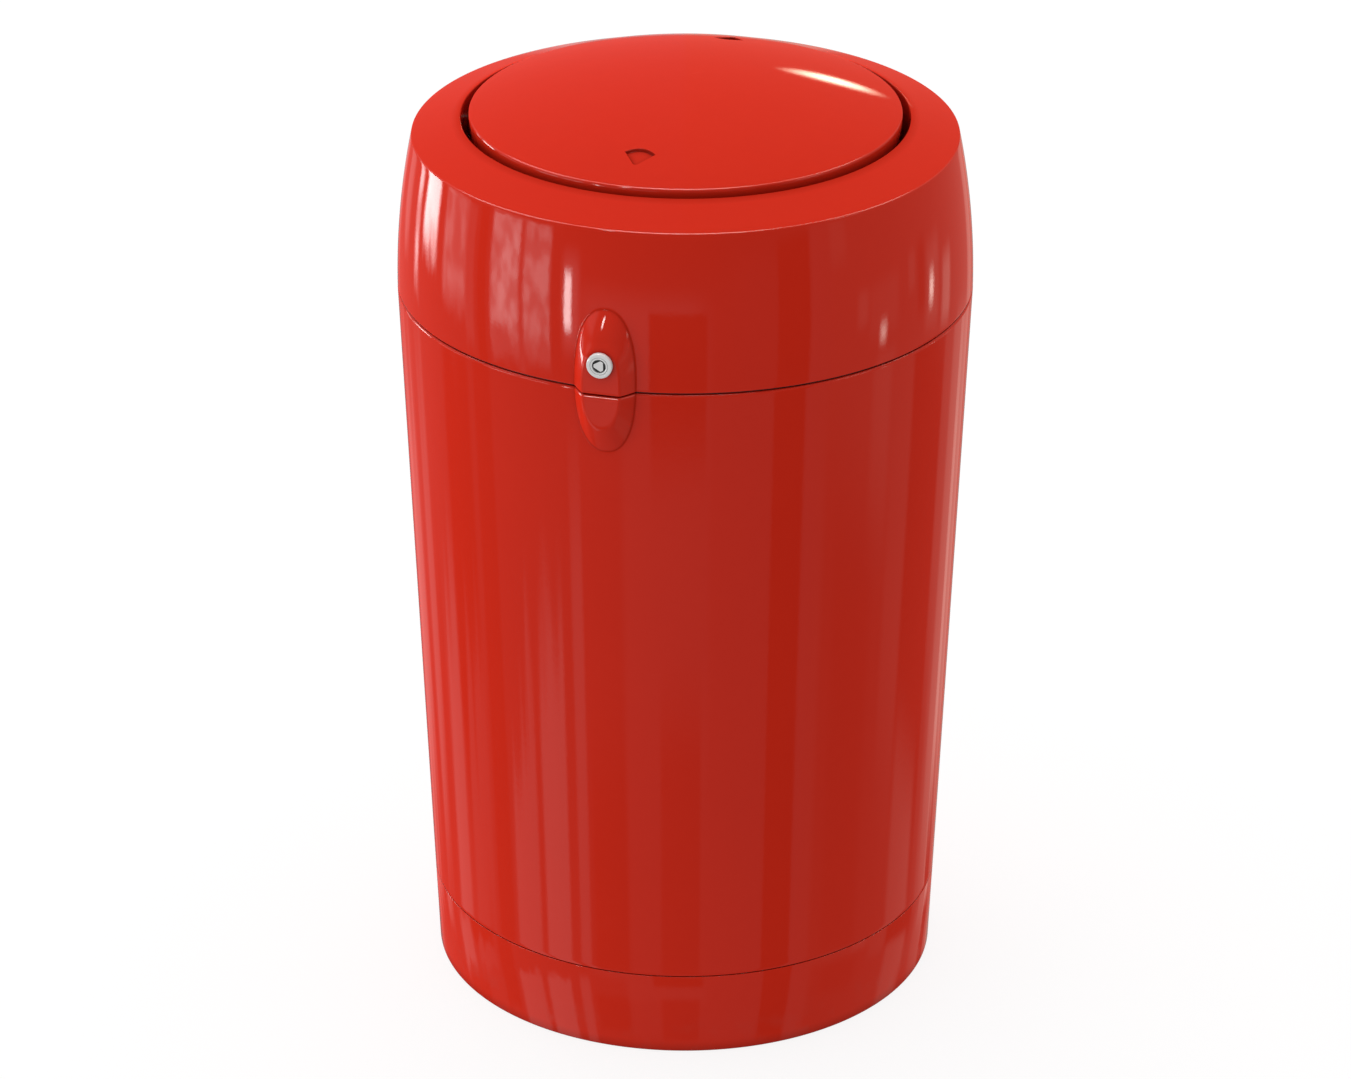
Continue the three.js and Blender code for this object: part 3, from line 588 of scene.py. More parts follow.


# ---- raised pads on the shells, under the lock and the hinge
# Side is the sign of y. Outer and face are the half sizes (x, z) of the pad's outline and of its
# flat face. Root and edge are the softness where it leaves the shell and where it turns flat.
# Reach is the half size of the area moved, crease_reach of the area given painted shade, and
# crease the width of that painted shade.
Pad = namedtuple("Pad", "side centre_z outer face root edge crowned reach crease_reach crease")
PADS = (
    Pad(side=-1, centre_z=655.0, outer=(26.8, 64.0), face=(16.4, 38.0), root=0.05, edge=0.16,
        crowned=True, reach=(33, 74), crease_reach=(32.0, 72.0), crease=0.75),
    Pad(side=1, centre_z=648.0, outer=(58.5, 69.0), face=(44.0, 50.5), root=0.2, edge=0.25,
        crowned=False, reach=(70, 86), crease_reach=(66.0, 80.0), crease=0.9),
)
PAD_POWER = 2.3  # of the superellipse that both outlines follow
PAD_Y = 262.0


def smooth_min(first, second, width):
    near = np.maximum(width - np.abs(first - second), 0.0) / width
    return np.minimum(first, second) - near**3 * width / 6.0


def smooth_max(first, second, width):
    return -smooth_min(-first, -second, width)


def step(t):
    t = np.clip(t, 0.0, 1.0)
    return t * t * (3 - 2 * t)


def pad_share(x, z, pad):
    """How far in from the pad's outline a point lies: 0 on the outline, 1 on the edge of the
    flat face. Also returns the largest share looked for."""
    (outer_x, outer_z), (face_x, face_z) = pad.outer, pad.face
    x, dz = np.abs(x), z - pad.centre_z
    top = min(outer_x / (outer_x - face_x), outer_z / (outer_z - face_z)) * 0.985
    low, high = np.full(x.shape, -0.6), np.full(x.shape, top)
    for _ in range(34):
        mid = (low + high) / 2
        inside = ((x / (outer_x - (outer_x - face_x) * mid)) ** PAD_POWER
                  + (np.abs(dz) / (outer_z - (outer_z - face_z) * mid)) ** PAD_POWER < 1)
        low, high = np.where(inside, mid, low), np.where(inside, high, mid)
    return (low + high) / 2, top


def pad_depth(x, z, pad):
    """How far out the pad stands: 0 outside it, 1 on the flat face."""
    share, top = pad_share(x, z, pad)
    depth = smooth_min(share, np.ones_like(share), pad.edge)
    if pad.crowned:
        domed = 1.0 - (1.0 - np.minimum(share, top) / top) ** 2.8
        depth = depth + (domed - depth) * step((z - pad.centre_z - 24.0) / 16.0)
    return smooth_max(depth, np.zeros_like(share), pad.root)


def raise_pads(points):
    """Pushes shell points outwards where the pads stand."""
    x, y, z = points.T
    base = np.where(z < SEAM_Z, outer_r(np.minimum(z, SEAM_Z)), hood_r(np.clip(z, SEAM_Z, RIM_Z)))
    out = points.copy()
    for pad in PADS:
        near = ((y * pad.side > 0) & (np.abs(x) < pad.reach[0])
                & (np.abs(z - pad.centre_z) < pad.reach[1]))
        depth = pad_depth(x[near], z[near], pad)
        shell_y = np.sqrt(base[near] ** 2 - x[near] ** 2)
        out[near, 1] += pad.side * depth * (PAD_Y - shell_y)
    return out


def paint_crease_shade(obj):
    """Paints shade on the thin line where a pad meets the shell, and on the lip of the opening."""
    points = points_of(obj)
    mark = np.zeros(len(points))
    for pad in PADS:
        near = ((points[:, 1] * pad.side > 236) & (np.abs(points[:, 0]) < pad.crease_reach[0])
                & (np.abs(points[:, 2] - pad.centre_z) < pad.crease_reach[1]))
        x, z = np.abs(points[near, 0]), points[near, 2]
        share, _ = pad_share(x, z, pad)
        slope_x = (pad_share(x + 0.4, z, pad)[0] - share) / 0.4
        slope_z = (pad_share(x, z + 0.4, pad)[0] - share) / 0.4
        away = share / np.maximum(np.hypot(slope_x, slope_z), 1e-4)
        # painted shade along the crease round each pad
        mark[near] = 0.55 * np.exp(-((away - 0.2) / pad.crease) ** 2)
    # painted shade on the lip of the opening
    lip = (np.hypot(points[:, 0], points[:, 1]) < 195.0) & (points[:, 2] > 797.0)
    mark[lip] = 0.38
    set_painted_shade(obj, mark)


def columns(features, grow):
    """Angles from -Y in radians, closer together near features, which are given in degrees as
    (centre, half width, step). Steps grow away from a feature up to 1.5 degrees."""
    out, angle = [], -180.0
    while angle < 180.0:
        out.append(angle)
        size = 1.5
        for centre, half, fine in features:
            off = abs((angle - centre + 180.0) % 360.0 - 180.0)
            size = min(size, fine + grow * max(0.0, off - half))
        angle += size
    return np.radians((np.array(out) + 180.0) * 360.0 / (angle + 180.0) - 180.0)


SHELL_COLUMNS = columns([(0.0, 6.6, 0.125), (180.0, 14.5, 0.42)], grow=0.07)


def shell(outside, inside):
    """A closed shell from (radius, height) rows swept round the axis; the pads are raised on
    the outside rows."""
    rows = outside + inside
    n, m = len(SHELL_COLUMNS), len(rows)
    sines, cosines = np.sin(SHELL_COLUMNS), np.cos(SHELL_COLUMNS)
    points = np.concatenate([np.stack([radius * sines, -radius * cosines, np.full(n, z)], -1)
                             for radius, z in rows])
    padded = len(outside) * n
    points[:padded] = raise_pads(points[:padded])
    faces = []
    for i in range(m):
        row, after = i * n, ((i + 1) % m) * n
        faces += [(row + j, row + (j + 1) % n, after + (j + 1) % n, after + j) for j in range(n)]
    return points, faces


# ---- plinth and ballast
BOLT_SPOTS = arc(212.5, 45, 315, 4)
BOLT_HOLE_R = 4.6
PLINTH = [  # radius, height, corner radius
    (0.0, 0.0), (BASE_R - 0.1, 0.0, 1.6), (outer_r(PLINTH_TOP), PLINTH_TOP, 0.5),
    (PLINTH_INNER_R, PLINTH_TOP, 0.8), (PLINTH_INNER_R, 72.2, 0.8), (221.6, 72.2, 2.0),
    (219.2, 4.2, 4.0), (0.0, 4.2),
]
piece("base_plinth", "body", "red_moulding", [turned(PLINTH, 240, steps=4)],
      cut=[rod(BOLT_HOLE_R, 70, 80, "Z", (x, y, 0)) for x, y in BOLT_SPOTS])

SLAB_R, SLAB_BOTTOM, SLAB_TOP = 198.0, 4.6, 60.0
slab = soften([(0.0, SLAB_BOTTOM), (SLAB_R, SLAB_BOTTOM, 2.0), (SLAB_R, SLAB_TOP, 5.0),
               (0.0, SLAB_TOP)], 2.0, 4, closed=False)
dense = [slab[0]]
for (r0, z0), (r1, z1) in zip(slab[:-1], slab[1:]):
    count = max(1, int(math.hypot(r1 - r0, z1 - z0) // 12))
    dense += [(r0 + (r1 - r0) * k / count, z0 + (z1 - z0) * k / count)
              for k in range(1, count + 1)]
slab_verts, slab_faces = lathe(dense, 96)
# an uneven cast surface, but a flat underside
rng = np.random.default_rng(7)
slab_verts = slab_verts + rng.normal(0.0, 0.12, slab_verts.shape) * (slab_verts[:, 2:3] > 10)
piece("ballast_slab", "body", "concrete", [(slab_verts, slab_faces)], sharp=40)

# ---- body shell
RIVET_XS, RIVET_Z = (-10, 10), 613  # lock keeper's rivets
LEAF_HOLE_XS = (-19, 19)
LOWER_HOLE_Z, UPPER_HOLE_Z = HINGE_Z - 24, HINGE_Z + 24
FLANGE_TOP = 84.4
LEDGE_R, UPSTAND_R, UPSTAND_TOP = 243.4, 240.4, SHOULDER_Z + 8.2

outside = [(206.9, BODY_BOTTOM)]
outside += [(outer_r(BODY_BOTTOM + rise) - inset, BODY_BOTTOM + rise)
            for inset, rise in ((0.45, 0.0), (0.2, 0.06), (0.06, 0.2), (0.0, 0.45))]
outside += [(outer_r(z), z) for z in (
    82.0, 90, 105, 130, 170, 210, 250, 290, 330, 370, 410, 450, 485, 515, 540, 558, 570, 577,
    *np.arange(580.5, 645.2, 0.9))]
outside += [(outer_r(SHOULDER_Z - drop) - inset, SHOULDER_Z - drop) for inset, drop in (
    (0.0, 2.2), (0.12, 1.55), (0.42, 0.95), (0.95, 0.45), (1.6, 0.14), (2.3, 0.0))]
inside = soften([
    (247.6, SHOULDER_Z, 0), (LEDGE_R, SHOULDER_Z, 0.6), (LEDGE_R, UPSTAND_TOP, 0.7),
    (UPSTAND_R, UPSTAND_TOP, 0.7), (UPSTAND_R, 641.0, 1.5), (outer_r(630) - WALL, 630.0, 3.0),
], 0.6, closed=False)
inside += [(outer_r(z) - WALL, z) for z in (560, 480, 400, 320, 240, 160, 110)]
inside += soften([
    (outer_r(92) - WALL, 92.0, 4.0), (219.5, FLANGE_TOP, 3.0), (PLINTH_INNER_R, FLANGE_TOP, 0.8),
    (PLINTH_INNER_R, BODY_BOTTOM, 0.8), (206.9, BODY_BOTTOM, 0),
], 0.8, closed=False)[:-1]

body_cuts = [block(-34, 34, -243.2, -225, 634, 672),
             block(-34, 34, -250, -225, SHOULDER_Z, 672)]
body_cuts += [rod(BOLT_HOLE_R, 76, 90, "Z", (x, y, 0)) for x, y in BOLT_SPOTS]
body_cuts += [rod(SMALL_HOLE_R, 236, 248.5, "Y", (x, 0, RIVET_Z)) for x in RIVET_XS]
body_cuts += [rod(SMALL_HOLE_R, -270, -254, "Y", (x, 0, LOWER_HOLE_Z)) for x in LEAF_HOLE_XS]
paint_crease_shade(piece(
    "body_shell", "body", "red_moulding", [shell(outside, inside)], cut=body_cuts,
    add=[prism(rounded_box(21, 594, 633, 3.0, steps=3), "Y", -246.5, -241.3)]))

# ---- plinth bolts, plinth nuts and hood seal
BOLT_SEAT_Z = 84.7
for i, (x, y) in enumerate(BOLT_SPOTS, 1):
    seat = Matrix.Translation((x, y, BOLT_SEAT_Z))
    shank = [(0, -24), (3.4, -24, 0.6), (4.0, -23), (4.0, 0.6), (0, 0.6)]
    washer = [(0.0, 0.0), (6.6, 0.0, 0.3), (6.6, 1.1, 0.4), (0.0, 1.1)]
    head = place(hex_block(10.6, 1.0, 5.3), seat @ Matrix.Rotation(0.4 * i, 4, "Z"))
    piece(f"plinth_bolt_{i}", "body", "zinc_plated",
          [place(turned(shank, 24), seat), place(turned(washer, 40), seat), head])
    nut = place(hex_block(12.0, 65.5, 71.9, both_ends=True),
                Matrix.Translation((x, y, 0)) @ Matrix.Rotation(0.9 * i, 4, "Z"))
    piece(f"plinth_nut_{i}", "body", "zinc_plated", [nut],
          cut=[rod(4.4, 60, 76, "Z", (x, y, 0))])

seal = [(243.9, 647.4), (248.2, 647.4), (248.2, 648.4), (243.9, 648.4)]
piece("hood_seal", "body", "black_rubber", [turned(seal, 240, 0.45)])

# ---- lock keeper: a plate inside the body's front, open at one side for the cam's pin
KEEPER_Y = -238.2  # inner face
keeper = soften([  # x, z, corner radius
    (-18, 596), (18, 596), (18, 661), (-5, 661), (-5, 655, 1.2), (11, 655, 1.2),
    (11, 630, 1.2), (-18, 630)], 3.0, 4)
piece("lock_keeper", "body", "zinc_plated", [prism(keeper, "Y", -240.9, KEEPER_Y)], bevel=0.35,
      cut=[rod(SMALL_HOLE_R, 236, 243, "Y", (x, 0, RIVET_Z), 24) for x in RIVET_XS])
keeper_rivet = [(0, -1.9), (2.2, -1.9, 1.2), (4.5, -0.9, 0.6), (4.5, -0.2, 0.2),
                (2.5, -0.2, 0.2), (2.5, 9.4, 0.5), (0, 9.4)]
for (side, _), x in zip(SIDES, RIVET_XS):
    rivet = turned(keeper_rivet, 32, 0.3, axis="Y", centre=(x, KEEPER_Y, RIVET_Z))
    piece(f"keeper_rivet_{side}", "body", "zinc_plated", [rivet])

# ---- hood hinge
LEAF_Y = (262.3, 264.8)
LEAF_X = 28  # half the leaf's width
KNUCKLE_R, KNUCKLE_BORE_R = 6.0, 3.35


def knuckle(x0, x1):
    profile = [(KNUCKLE_BORE_R, x0), (KNUCKLE_R, x0, 0.5), (KNUCKLE_R, x1, 0.5),
               (KNUCKLE_BORE_R, x1)]
    return turned(profile, 48, 0.25, axis="X", centre=HINGE)


def hinge_leaf(node, body, outline, knuckles, hole_z):
    holes = [rod(SMALL_HOLE_R, -266, -261, "Y", (x, 0, hole_z), 24) for x in LEAF_HOLE_XS]
    piece(node, body, "stainless", [prism(soften(outline, 4.0, 4), "Y", *LEAF_Y), *knuckles],
          bevel=0.3, cut=holes)


# outlines: x, z, corner radius
hinge_leaf("hinge_leaf_lower", "body", [
    (-LEAF_X, 613), (LEAF_X, 613), (LEAF_X, 646.5, 0.3), (10.6, 646.5, 0.3),
    (10.6, 641.4, 1.5), (-10.6, 641.4, 1.5), (-10.6, 646.5, 0.3), (-LEAF_X, 646.5, 0.3),
], [knuckle(-LEAF_X, -10.6), knuckle(10.6, LEAF_X)], LOWER_HOLE_Z)
hinge_leaf("hinge_leaf_upper", "hood", [
    (-LEAF_X, 683), (-LEAF_X, 654.6, 1.5), (-10, 654.6, 1.5), (-10, 650, 0.3),
    (10, 650, 0.3), (10, 654.6, 1.5), (LEAF_X, 654.6, 1.5), (LEAF_X, 683),
], [knuckle(-10, 10)], UPPER_HOLE_Z)
hinge_pin = [(0, -30), (3.0, -30, 0.8), (3.0, 28.4, 0.1), (5.0, 28.4, 0.4), (4.6, 31, 0.9),
             (0, 31)]
piece("hinge_pin", "body", "stainless", [turned(hinge_pin, 40, axis="X", centre=HINGE)])


def pan_screw(node, body, material, direction, at, head_r, head_h, shank_l):
    """Dome-headed machine screw with a hexagon socket."""
    shank_r = 2.5
    solid = turned([
        (0, -shank_l), (shank_r * 0.8, -shank_l, 0.3), (shank_r, -shank_l + 0.7, 0.3),
        (shank_r, 0.0, 0.1), (head_r, 0.0, 0.3), (head_r, head_h * 0.3, 0.5),
        (head_r * 0.62, head_h, 1.6), (0, head_h)], 32)
    socket_r = 3.0 / math.sqrt(3)  # 3 mm across flats
    hexagon = [(socket_r * math.cos(i * TAU / 6), socket_r * math.sin(i * TAU / 6))
               for i in range(6)]
    matrix = towards(direction, at)
    hole = place(prism(hexagon, "Z", head_h * 0.35, head_h + 2), matrix)
    piece(node, body, material, [place(solid, matrix)], cut=[hole])


for leaf, z, owner in (("lower", LOWER_HOLE_Z, "body"), ("upper", UPPER_HOLE_Z, "hood")):
    for (side, _), x in zip(SIDES, LEAF_HOLE_XS):
        pan_screw(f"hinge_screw_{leaf}_{side}", owner, "stainless", (0, 1, 0),
                  (x, LEAF_Y[1] + 0.2, z), head_r=4.6, head_h=2.6, shank_l=10)

# ---- hood shell
BRACKET_HOLE_YS = (-16, 16)
OPENING_LIP_Z = 762.0
CEILING_DROP = 5.3  # from the top of the sloping ring to its underside

outside = [(hood_r(HOOD_BOTTOM + rise) - inset, HOOD_BOTTOM + rise) for inset, rise in (
    (1.0, 0.0), (0.55, 0.08), (0.2, 0.3), (0.04, 0.65), (0.0, 1.1))]
outside += [(hood_r(z), z) for z in (
    *np.arange(651.2, 724.5, 0.9),
    727, 731, 736, 741, 746, 751, 756, 761, 765.5, 769.5, 773.5, 777.0, 780.0)]
inside = curve((hood_r(784.15), 784.15), (RIM_R, RIM_Z), (234.3, ring_z(234.3)), 6)
inside += [(radius, ring_z(radius)) for radius in (226.0, 217.0, 208.0, 201.0)]
inside += curve((194.4, ring_z(194.4)), (OPENING_R, OPENING_Z), (OPENING_R, 798.2), 6)
inside += soften([
    (OPENING_R, 790.0, 0), (OPENING_R, OPENING_LIP_Z, 1.2), (197.5, OPENING_LIP_Z, 1.2),
    (197.5, ring_z(197.5) - CEILING_DROP, 3.0), (229.4, ring_z(229.4) - CEILING_DROP, 3.0),
], 1.2, closed=False)
inside += [(hood_r(z) - WALL, z) for z in (772.0, 762.0, 748, 735, 722, 708, 694, 680, 666)]
inside += [(244.9, 654.0), (244.9, HOOD_BOTTOM + 0.8), (245.5, HOOD_BOTTOM)]

hood_cuts = [rod(9.4, 225, 275, "Y", LOCK, 48), rod(17.0, 225, 245.3, "Y", LOCK, 48)]
hood_cuts += [rod(SMALL_HOLE_R, -270, -254, "Y", (x, 0, UPPER_HOLE_Z), 24)
              for x in LEAF_HOLE_XS]
for _, sign in SIDES:
    hood_cuts.append(rod(6.4, *span(sign, 188, 202), "X", PIVOT, 48))
    hood_cuts += [rod(SMALL_HOLE_R, *span(sign, 194.9, 202), "X", (0, y, PIVOT_Z), 24)
                  for y in BRACKET_HOLE_YS]
paint_crease_shade(piece("hood_shell", "hood", "red_moulding", [shell(outside, inside)],
                   cut=hood_cuts))

# ---- lid bearings
BUSH_BORE_R = 5.35
BRACKET_X = (198.3, 214.0)
bracket_outline = soften([(-24, 757), (24, 757), (24, 779, 3.0), (16, 785.3), (-16, 785.3),
                          (-24, 779, 3.0)], 4.0, 4)
bush_profile = [(BUSH_BORE_R, 198.5, 0.4), (8.0, 198.5), (8.0, 214.3, 0.1), (10.5, 214.3),
                (10.5, 216.3), (BUSH_BORE_R, 216.3, 0.4)]
# a split ring whose inner edge steps between pads on the shaft and gaps
clip_inner = [arc(BUSH_BORE_R if (k // 5) % 2 == 0 else 6.5, 235, -55, 45, (0, PIVOT_Z))[k]
              for k in range(45)]
clip_outline = soften(arc(8.0, -55, 235, 40, (0, PIVOT_Z)) + clip_inner, 0.25, 2)
for side, sign in SIDES:
    low, high = span(sign, *BRACKET_X)
    holes = [rod(8.4, low - 2, high + 2, "X", PIVOT, 48)]
    holes += [rod(SMALL_HOLE_R, low - 2, high + 2, "X", (0, y, PIVOT_Z), 24)
              for y in BRACKET_HOLE_YS]
    # two pockets in the bracket's inward-facing end stop 4 mm short of one face
    pocket = (low + 4, high + 1) if sign > 0 else (low - 1, high - 4)
    holes += [block(*pocket, y0, y1, 759.5, 764.5) for y0, y1 in ((-19, -4), (4, 19))]
    piece(f"bearing_bracket_{side}", "hood", "zinc_plated",
          [prism(bracket_outline, "X", low, high)], bevel=0.6, cut=holes)
    bush_verts, bush_faces = turned(bush_profile, 56, 0.5, axis="X", centre=PIVOT)
    piece(f"bearing_bush_{side}", "hood", "white_nylon",
          [(bush_verts * np.array([sign, 1, 1]), bush_faces)])
    for end, y in zip(("front", "rear"), BRACKET_HOLE_YS):
        pan_screw(f"bracket_screw_{side}_{end}", "hood", "zinc_plated", (sign, 0, 0),
                  (sign * 214.3, y, PIVOT_Z), head_r=4.5, head_h=3.0, shank_l=19)
    piece(f"shaft_clip_{side}", "swing_lid", "stainless",
          [prism(clip_outline, "X", *span(sign, 216.8, 218.2))])

# ---- swing lid
# a sunk three-cornered mark near the front edge, repeated half a turn round at the rear
MARK = np.concatenate([
    curve((-13, -141.5), (0, -129.8), (13, -141.5), 24)[:-1],
    np.linspace((13, -141.5), (2.4, -155.8), 15)[:-1],
    curve((2.4, -155.8), (0, -158.6), (-2.4, -155.8), 8)[:-1],
    np.linspace((-2.4, -155.8), (-13, -141.5), 15)[:-1],
])
MARK_DEPTH = 2.2
LID_WALL = 4.0
LUG_X = 162  # middle of each lug under the lid
SHAFT_PIN_HOLE_R = 2.4
SHAFT_HOLE_R = 5.3


def front_mark_distance(x, y):
    """Distance into the front mark: positive inside."""
    start, end = MARK, np.roll(MARK, -1, 0)
    point = np.stack([x, y], -1)[:, None, :]
    edge = end - start
    along = np.clip(((point - start) * edge).sum(-1) / (edge**2).sum(-1), 0, 1)
    gap = np.linalg.norm(point - (start + edge * along[..., None]), axis=-1).min(1)
    crosses = (start[:, 1] > point[..., 1]) != (end[:, 1] > point[..., 1])
    rise = np.where(np.abs(edge[:, 1]) < 1e-9, 1e-9, edge[:, 1])
    cross_x = start[:, 0] + (point[..., 1] - start[:, 1]) * edge[:, 0] / rise
    inside = (crosses & (point[..., 0] < cross_x)).sum(1) % 2 == 1
    return np.where(inside, gap, -gap)


def mark_distance(x, y):
    """Distance into either mark."""
    return np.maximum(front_mark_distance(x, y), front_mark_distance(-x, -y))


def lid_dome():
    angles = columns([(0.0, 5.6, 0.15), (180.0, 5.6, 0.15)], grow=0.08)
    n = len(angles)
    sines, cosines = np.sin(angles), np.cos(angles)
    radii = [2.5, 8, 16, 26, 38, 50, 62, 74, 86, 97, 107, 115, 121, 125, 127.5]
    radii += [*np.arange(129.0, 161.0, 0.40), 162.5, 165, 168.5, 172.5, 176.5, 179.8]
    points = [np.array([[0.0, 0.0, dome_z(0)]])]
    for radius in radii:
        x, y = radius * sines, -radius * cosines
        z = np.full(n, dome_z(radius))
        if 127 < radius < 162:
            z = z - MARK_DEPTH * step((mark_distance(x, y) + 0.05) / 0.62)
        points.append(np.stack([x, y, z], -1))
    # over the edge, down the skirt and back to the middle underneath
    edge_z = dome_z(185.6)
    under = curve((184.5, dome_z(184.5)), (185.75, edge_z), (185.95, edge_z - 1.7), 6)
    under += [(185.98, 801.2)]
    under += soften([
        (185.9, 798.0, 0), (184.6, 786.0, 0.8), (181.2, 786.0, 0.8), (182.0, 799.5, 3.0),
        (175.5, dome_z(175.5) - LID_WALL, 6.0)], 0.8, closed=False)
    under += [(radius, dome_z(radius) - LID_WALL) for radius in (165, 150, 130, 105, 80, 50, 25)]
    for radius, z in under:
        points.append(np.stack([radius * sines, -radius * cosines, np.full(n, z)], -1))
    points.append(np.array([[0.0, 0.0, dome_z(0) - LID_WALL]]))

    row_count = len(radii) + len(under)
    faces = [(0, 1 + j, 1 + (j + 1) % n) for j in range(n)]
    for i in range(row_count - 1):
        row, after = 1 + i * n, 1 + (i + 1) * n
        faces += [(row + j, after + j, after + (j + 1) % n, row + (j + 1) % n)
                  for j in range(n)]
    last = 1 + row_count * n
    row = last - n
    faces += [(row + j, last, row + (j + 1) % n) for j in range(n)]
    return np.concatenate(points), faces


def shade_marks(obj):
    """Paints shade into the sunk marks, most of all along their edges."""
    points = points_of(obj)
    x, y, z = points.T
    shade = np.zeros(len(points))
    near = ((np.abs(x) < 20) & (np.abs(np.abs(y) - 144) < 18)
            & (z > dome_z(np.minimum(np.hypot(x, y), 180.0)) - 3.3))
    depth = mark_distance(x[near], y[near])
    # painted shade: a dark line along each mark's edge and a fill over the mark
    rim = 0.67 * np.exp(-((depth - 0.55) / 0.9) ** 2)
    glow = 0.22 * np.exp(-(np.maximum(depth, 0) / 3.5) ** 2)
    shade[near] = np.where(depth > -0.3, 0.13 + rim + glow, 0.0)
    set_painted_shade(obj, shade)


def shaft_pin_holes(bottom):
    return [rod(SHAFT_PIN_HOLE_R, bottom, 790, "Z", (sign * LUG_X, 0, 0), 24)
            for _, sign in SIDES]


lugs = [prism(soften([(sign * 150, 762), (sign * 174, 762), (sign * 174, 805.0, 0),
                      (sign * 150, 812.5, 0)], 3.0), "Y", -12, 12) for _, sign in SIDES]
shade_marks(piece("lid_dome", "swing_lid", "red_moulding", [lid_dome()], add=lugs, sharp=42,
                  cut=[rod(SHAFT_HOLE_R, -190, 190, "X", PIVOT, 48)] + shaft_pin_holes(755)))

# ---- pivot shaft, with a groove for each clip
SHAFT_R, GROOVE_R, SHAFT_END = 5.0, 4.3, 221.5
shaft_half = [(SHAFT_R, 218.2, 0.1), (GROOVE_R, 218.2, 0.1), (GROOVE_R, 218.6, 0.1),
              (SHAFT_R, 218.6, 0.1), (SHAFT_R, SHAFT_END, 0.8), (0, SHAFT_END)]
shaft = [(p[0], -p[1], *p[2:]) for p in reversed(shaft_half)] + shaft_half
# the shaft's near-black colour is painted shade
piece("pivot_shaft", "swing_lid", "stainless_painted_shade",
      [turned(shaft, 56, 0.2, axis="X", centre=PIVOT)], cut=shaft_pin_holes(760))

# ---- shaft pins and counterweight
WEIGHT_Z = 727
WEIGHT_HOLE_R = 3.4
arm_outline = soften([  # y, z, corner radius
    (-11.5, 772, 8), (-9, 784, 8), (0, 787, 10), (9, 784, 8), (11.5, 772, 8),
    (20, 740, 8), (20, 713, 4), (-20, 713, 4), (-20, 740, 8)], 6.0, 6)
weight_shank = [(0, -20), (2.4, -20, 0.3), (3.0, -19.2, 0.3), (3.0, 0.5), (0, 0.5)]
weight_washer = [(0.0, 0.0), (5.6, 0.0, 0.2), (5.6, 0.8, 0.3), (0.0, 0.8)]
rolled_pin = [(0.7, 759.5, 0.1), (2.0, 759.5, 0.6), (2.0, 784.5, 0.6), (0.7, 784.5, 0.1)]
for side, sign in SIDES:
    x = sign * LUG_X
    piece(f"shaft_pin_{side}", "swing_lid", "stainless",
          [turned(rolled_pin, 32, centre=(x, 0, 0))],
          cut=[block(x - 0.4, x + 0.4, -3, 0, 750, 795)])
    low, high = span(sign, 118.0, 122.0)
    piece(f"weight_arm_{side}", "swing_lid", "zinc_plated",
          [prism(arm_outline, "X", low, high)], bevel=0.5,
          cut=[rod(SHAFT_HOLE_R, low - 2, high + 2, "X", PIVOT, 48),
               rod(WEIGHT_HOLE_R, low - 2, high + 2, "X", (0, 0, WEIGHT_Z))])
    seat = towards((sign, 0, 0), (sign * 122.3, 0, WEIGHT_Z))
    bolt = (turned(weight_shank, 32, 0.3), turned(weight_washer, 40), hex_block(8.6, 0.7, 3.8))
    piece(f"weight_bolt_{side}", "swing_lid", "zinc_plated",
          [place(part, seat) for part in bolt])
piece("counterweight_bar", "swing_lid", "zinc_plated",
      [prism(rounded_box(18, 716, 738, 3.0), "X", -117.6, 117.6)], bevel=0.8,
      cut=[rod(WEIGHT_HOLE_R, *span(sign, 100, 120), "X", (0, 0, WEIGHT_Z))
           for _, sign in SIDES])

# ---- lock: profile heights are distances in front of the axis, along -Y
housing = [  # radius, distance, corner radius
    (4.5, 236.7, 0.2), (9.0, 236.7, 0.6), (9.0, 262.4, 0.1), (11.0, 262.4, 0.25),
    (11.0, 266.2, 1.1), (7.9, 266.2, 0.12), (7.6, 265.75, 0.12), (7.25, 266.2, 0.12),
    (5.85, 266.2, 0.45), (5.85, 243.4, 0.2), (4.5, 243.4, 0.2)]
piece("lock_housing", "hood", "lock_metal", [turned(housing, 96, 0.2, 4, "Y", LOCK)])
nut_verts, nut_faces = hex_block(24.0, 240.5, 244.9, both_ends=True)
piece("lock_nut", "hood", "zinc_plated", [(stand(nut_verts, "Y", LOCK), nut_faces)],
      cut=[rod(9.4, 238, 248, "Y", LOCK, 48)])

# three-sided key stud with blunt corners
STUD_R, STUD_BLUNT = 4.9, 0.27
stud = [(STUD_R * math.cos(angle), LOCK_Z + STUD_R * math.sin(angle))
        for i in range(3)
        for angle in (math.pi + i * TAU / 3 - STUD_BLUNT, math.pi + i * TAU / 3 + STUD_BLUNT)]
core = [(0, 233.9), (4.1, 233.9, 0.2), (4.1, 243.9, 0.1), (5.4, 243.9, 0.3),
        (5.4, 262.2, 0.3), (0, 262.2)]
piece("lock_driver", "lock_core", "lock_metal", [turned(core, 64, 0.2, axis="Y", centre=LOCK)],
      add=[prism(soften(stud, 0.5), "Y", -265.7, -261.0)],
      cut=[rod(2.4, 230, 242, "Y", LOCK, 24)])

